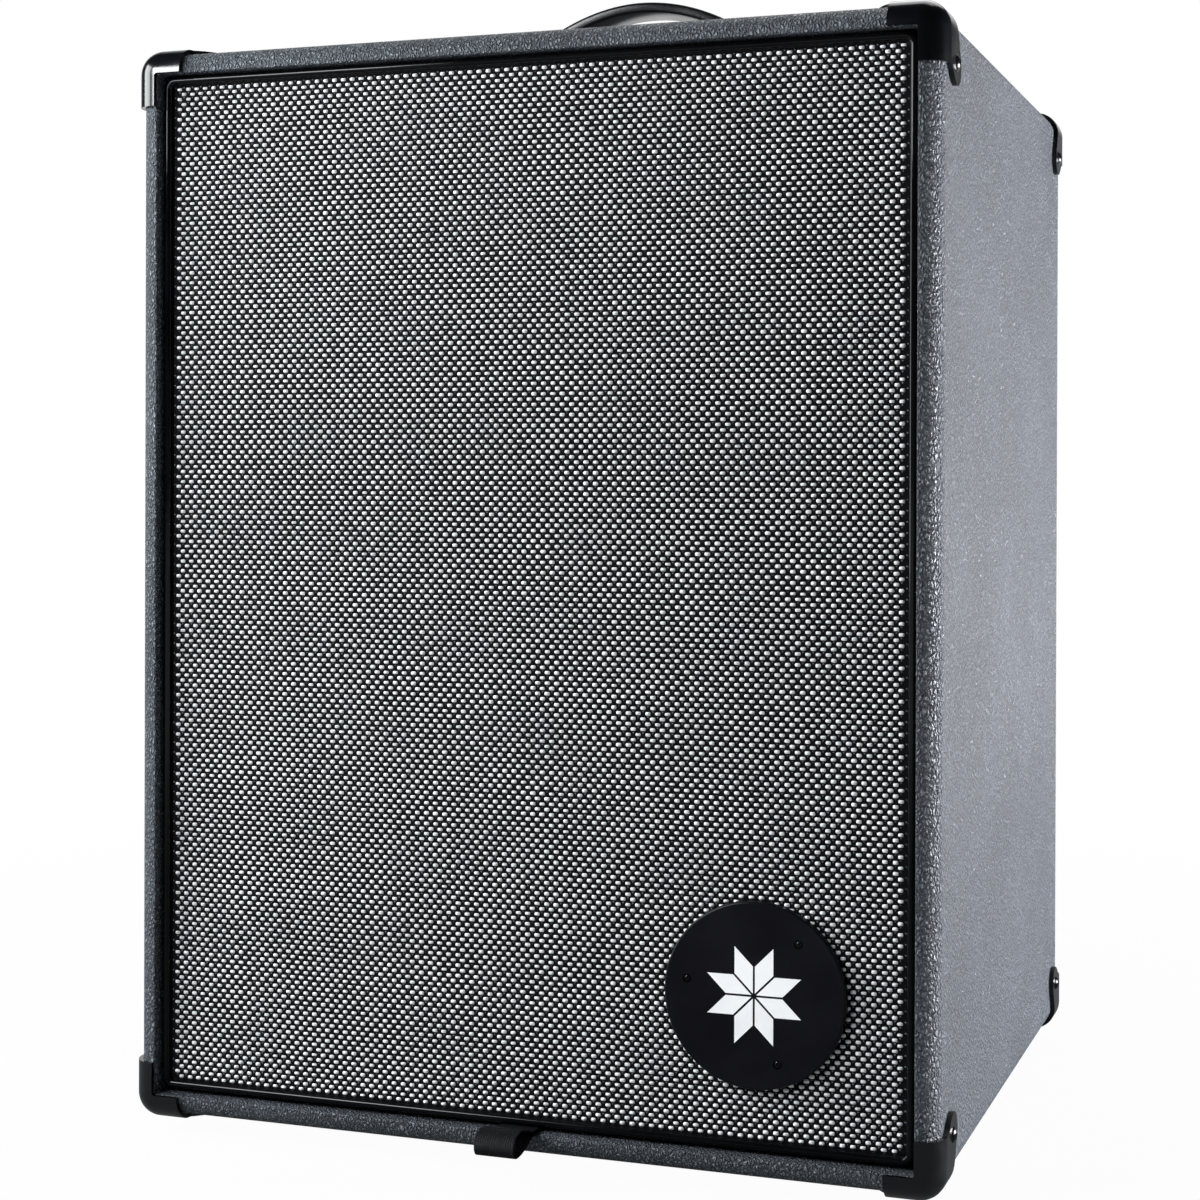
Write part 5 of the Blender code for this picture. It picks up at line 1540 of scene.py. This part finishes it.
# %% Overlays by place
def lay_over(shader, mask, colour, roughness=None, metallic=None):
    """Where the mask is 1, the shader takes another colour, roughness or metallic value."""
    base = shader.inputs["Base Color"]
    join_up(blend_colours(mask, base.links[0].from_socket, colour), base)
    for title, value in (("Roughness", roughness), ("Metallic", metallic)):
        if value is None:
            continue
        socket = shader.inputs[title]
        made = place_node(mask.id_data, "ShaderNodeMix", data_type="FLOAT")
        join_up(mask, made.inputs[0])
        if socket.is_linked:
            join_up(socket.links[0].from_socket, made.inputs[2])
        else:
            made.inputs[2].default_value = socket.default_value
        made.inputs[3].default_value = value
        join_up(made.outputs[0], socket)


def all_of(*masks):
    """Where every mask is 1."""
    result = masks[0]
    for mask in masks[1:]:
        result = calculate("MULTIPLY", result, mask)
    return result


def node_of_kind(tree, kind):
    return next(n for n in tree.nodes if n.bl_idname == kind)


def place_of(tree):
    """The parts of the Object coordinates in a material that has them already."""
    return axes(node_of_kind(tree, "ShaderNodeTexCoord").outputs["Object"])


def about_middle(where, node, lift=0.0):
    """Distances aside and up from the middle of a node's box, or from a place above or below it."""
    low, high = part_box(node)
    aside = calculate("SUBTRACT", where["X"], (low.x + high.x) / 2)
    up = calculate("SUBTRACT", where["Z"], (low.z + high.z) / 2 + lift)
    return aside, up


print("overlay helpers ready")

# %% Control plate with its scales
PLATE_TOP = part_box("control_plate")[1].z
ROW = (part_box("input_socket")[0].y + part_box("input_socket")[1].y) / 2
KNOB_PITCH = 0.040
PANEL_DARK, PANEL_PALE = (0.013, 0.014, 0.017), (0.019, 0.020, 0.023)
SCALE_STEP, SCALE_REACH = math.radians(30), math.radians(155)
SCALE_HALF_WIDE = 0.00028
SCALE_END = 0.1195
panel, tree, shader = pebbled("panel_paint", PANEL_DARK, PANEL_PALE, 0.42, 0.55, 0.0006, 0.00004)
where = place_of(tree)
aside = in_step(where["X"], KNOB_PITCH / 2, KNOB_PITCH)
back = calculate("SUBTRACT", where["Y"], ROW)
ring = reach_of(aside, back)
turn = calculate("ARCTAN2", aside, back)
tick = in_step(turn, 0.0, SCALE_STEP)
width = calculate("MULTIPLY", unsigned(tick), ring)
scale_marks = all_of(
    below(width, SCALE_HALF_WIDE),
    between(ring, 0.0122, 0.0146),
    below(unsigned(turn), SCALE_REACH),
    below(unsigned(where["X"]), SCALE_END),
)
lay_over(shader, scale_marks, (0.62, 0.63, 0.65), 0.5)
dress(panel, "control_plate")
dress_pebbled(
    ("rear_plate_paint", PANEL_DARK, PANEL_PALE, 0.52, 0.60, 0.0012, 0.00003, 0.15, ["rear_plate"]),
)
print("control row", round(ROW, 4), "plate top", round(PLATE_TOP, 4))

# %% Knobs with a white pointer
COAL, SOOT = (0.012, 0.012, 0.013), (0.018, 0.018, 0.019)
knob_paint, tree, shader = pebbled("knob_black", COAL, SOOT, 0.30, 0.42, 0.0005, 0.00002)
where = place_of(tree)
aside = unsigned(in_step(where["X"], KNOB_PITCH / 2, KNOB_PITCH))
back = calculate("SUBTRACT", where["Y"], ROW)
pointer = all_of(
    below(aside, 0.00055),
    between(back, 0.0020, 0.0140),
    above(where["Z"], PLATE_TOP + 0.0009),
)
lay_over(shader, pointer, (0.70, 0.71, 0.72), 0.5)
dress(knob_paint, *(f"{name}_knob" for name in ("gain", "bass", "low_mid", "high_mid", "treble", "master")))
print("knob nodes", len(tree.nodes))

# %% Button, lamp and switch
dress_pebbled(
    (
        "button_red", (0.24, 0.012, 0.012), (0.32, 0.020, 0.018),
        0.28, 0.40, 0.0006, 0.00001, PLAIN_SPECULAR, ["mute_button"],
    ),
)
lamp = pebbled(
    "lamp_lens", (0.02, 0.10, 0.42), (0.04, 0.16, 0.55), 0.06, 0.12, 0.0006, 0.000004, coat_weight=0.6
)[0]
dress(lamp, "power_lamp")
rocker, tree, shader = pebbled("rocker_black", COAL, SOOT, 0.24, 0.34, 0.0006, 0.00001)
aside, up = about_middle(place_of(tree), "power_rocker")
aside = unsigned(aside)
dash = all_of(below(aside, 0.0005), between(up, 0.0035, 0.0075))
loop_reach = reach_of(aside, calculate("ADD", up, 0.0055))
loop = between(loop_reach, 0.0014, 0.0021)
lay_over(shader, calculate("MAXIMUM", dash, loop), (0.7, 0.7, 0.7), 0.5)
dress(rocker, "power_rocker")
print("controls finished")

# %% Sockets and outlets
NICKEL, BRASS = (0.66, 0.64, 0.60), (0.72, 0.52, 0.24)
MOULDING = (0.02, 0.02, 0.02)
socket_paint, tree, shader = pebbled("socket_black", COAL, MOULDING, 0.34, 0.46, 0.0005, 0.00002)
lay_over(shader, above(place_of(tree)["Z"], PLATE_TOP), NICKEL, 0.25, 1.0)
dress(socket_paint, "input_socket", "phones_socket")

speaker_paint, tree, shader = pebbled("outlet_black", COAL, MOULDING, 0.34, 0.46, 0.0005, 0.00002)
aside, up = about_middle(place_of(tree), "speaker_outlet")
lay_over(shader, below(reach_of(aside, up), 0.0060), (0.02, 0.05, 0.16), 0.35)
dress(speaker_paint, "speaker_outlet")

line_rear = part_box("line_outlet")[1].y
line_paint, tree, shader = pebbled(
    "line_outlet_metal", (0.30, 0.30, 0.31), (0.38, 0.38, 0.38), 0.28, 0.38, 0.0005, 0.00001, metallic=1.0
)
where = place_of(tree)
aside, up = about_middle(where, "line_outlet")
pin_ring = between(reach_of(aside, up), 0.0034, 0.0066)
deep = below(where["Y"], line_rear - 0.0050)
floor_part = below(where["Y"], line_rear - 0.0189)
lay_over(shader, floor_part, COAL, 0.5, 0.0)
pins_only = all_of(pin_ring, deep, calculate("SUBTRACT", 1.0, floor_part))
lay_over(shader, pins_only, BRASS, 0.25, 1.0)
dress(line_paint, "line_outlet")
print("sockets and outlets finished")

# %% Mains inlet
WELL_DROP = 0.0150
inlet_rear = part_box("power_inlet")[1].y
inlet_paint, tree, shader = pebbled("inlet_black", COAL, MOULDING, 0.38, 0.50, 0.0005, 0.00003)
where = place_of(tree)
aside, up = about_middle(where, "power_inlet", -WELL_DROP)
aside = unsigned(aside)
outer_pins = all_of(between(aside, 0.0058, 0.0082), between(up, -0.0040, 0.0))
top_pin = all_of(below(aside, 0.0012), between(up, 0.0020, 0.0060))
deep = between(where["Y"], inlet_rear - 0.0195, inlet_rear - 0.0040)
blades = all_of(calculate("MAXIMUM", outer_pins, top_pin), deep)
lay_over(shader, blades, BRASS, 0.28, 1.0)
dress(inlet_paint, "power_inlet")
print("mains inlet finished")

# %% [markdown]
# A circuit board is green lacquer over thin copper tracks. Its parts stand on it in the same solid, so their
# finishes are chosen by height and by place: aluminium cans, a copper coil, ceramic resistors.

# %% Circuit boards
LACQUER_DARK, LACQUER_PALE = (0.010, 0.085, 0.035), (0.014, 0.105, 0.045)
TRACKS = {"Scale": 60.0, "Mortar Size": 0.035, "Brick Width": 0.9}


def circuit(name, face):
    """Green lacquer with tracks and pads up to a height, and grey parts above it."""
    paint, tree, shader = pebbled(name, LACQUER_DARK, LACQUER_PALE, 0.26, 0.38, 0.0008, 0.00001)
    spot = node_of_kind(tree, "ShaderNodeTexCoord")
    tracks = place_node(tree, "ShaderNodeTexBrick")
    join_up(spot.outputs["Object"], tracks.inputs["Vector"])
    for title, value in TRACKS.items():
        tracks.inputs[title].default_value = value
    lay_over(shader, tracks.outputs["Fac"], (0.030, 0.19, 0.075), 0.32)
    pads = place_node(tree, "ShaderNodeTexVoronoi")
    join_up(spot.outputs["Object"], pads.inputs["Vector"])
    pads.inputs["Scale"].default_value = 110.0
    lay_over(shader, below(pads.outputs["Distance"], 0.16), (0.55, 0.56, 0.58), 0.3, 0.9)
    raised = above(place_of(tree)["Z"], face)
    lay_over(shader, raised, (0.36, 0.37, 0.38), 0.34, 0.85)
    return paint, tree, shader, raised


control_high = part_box("control_board")[1]
paint, tree, shader, raised = circuit("control_circuit", control_high.z - 0.0084)
dress(paint, "control_board")

filter_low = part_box("crossover_board")[0]
paint, tree, shader, raised = circuit("filter_circuit", filter_low.z + 0.0081)
where = place_of(tree)
coil_side = all_of(raised, below(where["X"], filter_low.x + 0.046))
lay_over(shader, coil_side, (0.62, 0.26, 0.11), 0.32, 0.9)
front_row = all_of(raised, below(where["Y"], filter_low.y + 0.022))
lay_over(shader, front_row, (0.62, 0.60, 0.55), 0.7, 0.0)
dress(paint, "crossover_board")

supply_low, supply_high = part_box("power_supply_board")
paint, tree, shader, raised = circuit("supply_circuit", supply_low.z + 0.0077)
where = place_of(tree)
ring_side = all_of(raised, below(where["X"], supply_low.x + 0.070))
lay_over(shader, ring_side, (0.46, 0.33, 0.06), 0.5, 0.0)
choke = all_of(raised, above(where["Y"], supply_high.y - 0.033))
lay_over(shader, choke, (0.05, 0.05, 0.055), 0.6, 0.0)
dress(paint, "power_supply_board")
print("three circuit boards finished")

# %% [markdown]
# The cones are pressed paper pulp with long fibres and fine pressed rings about each loudspeaker's axis. The
# magnet is a dark ceramic ring between two zinc plated steel plates.

# %% Cones and magnets
RING_STEP = 0.0062
COIL_REACH, COIL_DEPTH = 0.0270, 0.0320
FRONT_PLATE, REAR_PLATE = 0.0072, 0.0076
for level in ("upper", "lower"):
    cone = f"{level}_woofer_cone"
    cone_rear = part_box(cone)[1].y
    pulp, tree, shader = pebbled(
        f"{level}_cone_pulp", (0.020, 0.020, 0.020), (0.034, 0.033, 0.032), 0.70, 0.85, 0.0016, 0.00012
    )
    where = place_of(tree)
    aside, up = about_middle(where, cone)
    radius = reach_of(aside, up)
    pressed = calculate("SINE", calculate("MULTIPLY", radius, 2 * math.pi / RING_STEP))
    bump_height = node_of_kind(tree, "ShaderNodeBump").inputs["Height"]
    pebble_height = bump_height.links[0].from_socket
    rings = calculate("MULTIPLY", pressed, 0.8)
    join_up(calculate("ADD", pebble_height, rings), bump_height)
    tube = all_of(below(radius, COIL_REACH), above(where["Y"], cone_rear - COIL_DEPTH))
    lay_over(shader, tube, (0.42, 0.21, 0.07), 0.35)
    dress(pulp, cone)
    magnet = f"{level}_woofer_magnet"
    magnet_low, magnet_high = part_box(magnet)
    ferrite, tree, shader = pebbled(
        f"{level}_magnet", (0.030, 0.030, 0.033), (0.048, 0.047, 0.048), 0.50, 0.66, 0.0007, 0.00004
    )
    depth_place = place_of(tree)["Y"]
    front_plate = below(depth_place, magnet_low.y + FRONT_PLATE)
    rear_plate = above(depth_place, magnet_high.y - REAR_PLATE)
    plates = calculate("MAXIMUM", front_plate, rear_plate)
    lay_over(shader, plates, (0.50, 0.49, 0.44), 0.34, 1.0)
    dress(ferrite, magnet)
print("loudspeakers finished")

# %% [markdown]
# Before the end, the script looks for any piece or node that still has a plain flat finish.

# %% Finish check
FEWEST_NODES = 6
plain = []
for piece in bpy.context.scene.objects:
    if piece.type != "MESH" or piece.name == "floor" or piece.hide_render:
        continue
    for slot in piece.material_slots:
        if slot.material is None or len(slot.material.node_tree.nodes) < FEWEST_NODES:
            plain.append(piece.name)
print("pieces without a full finish:", plain or "none")
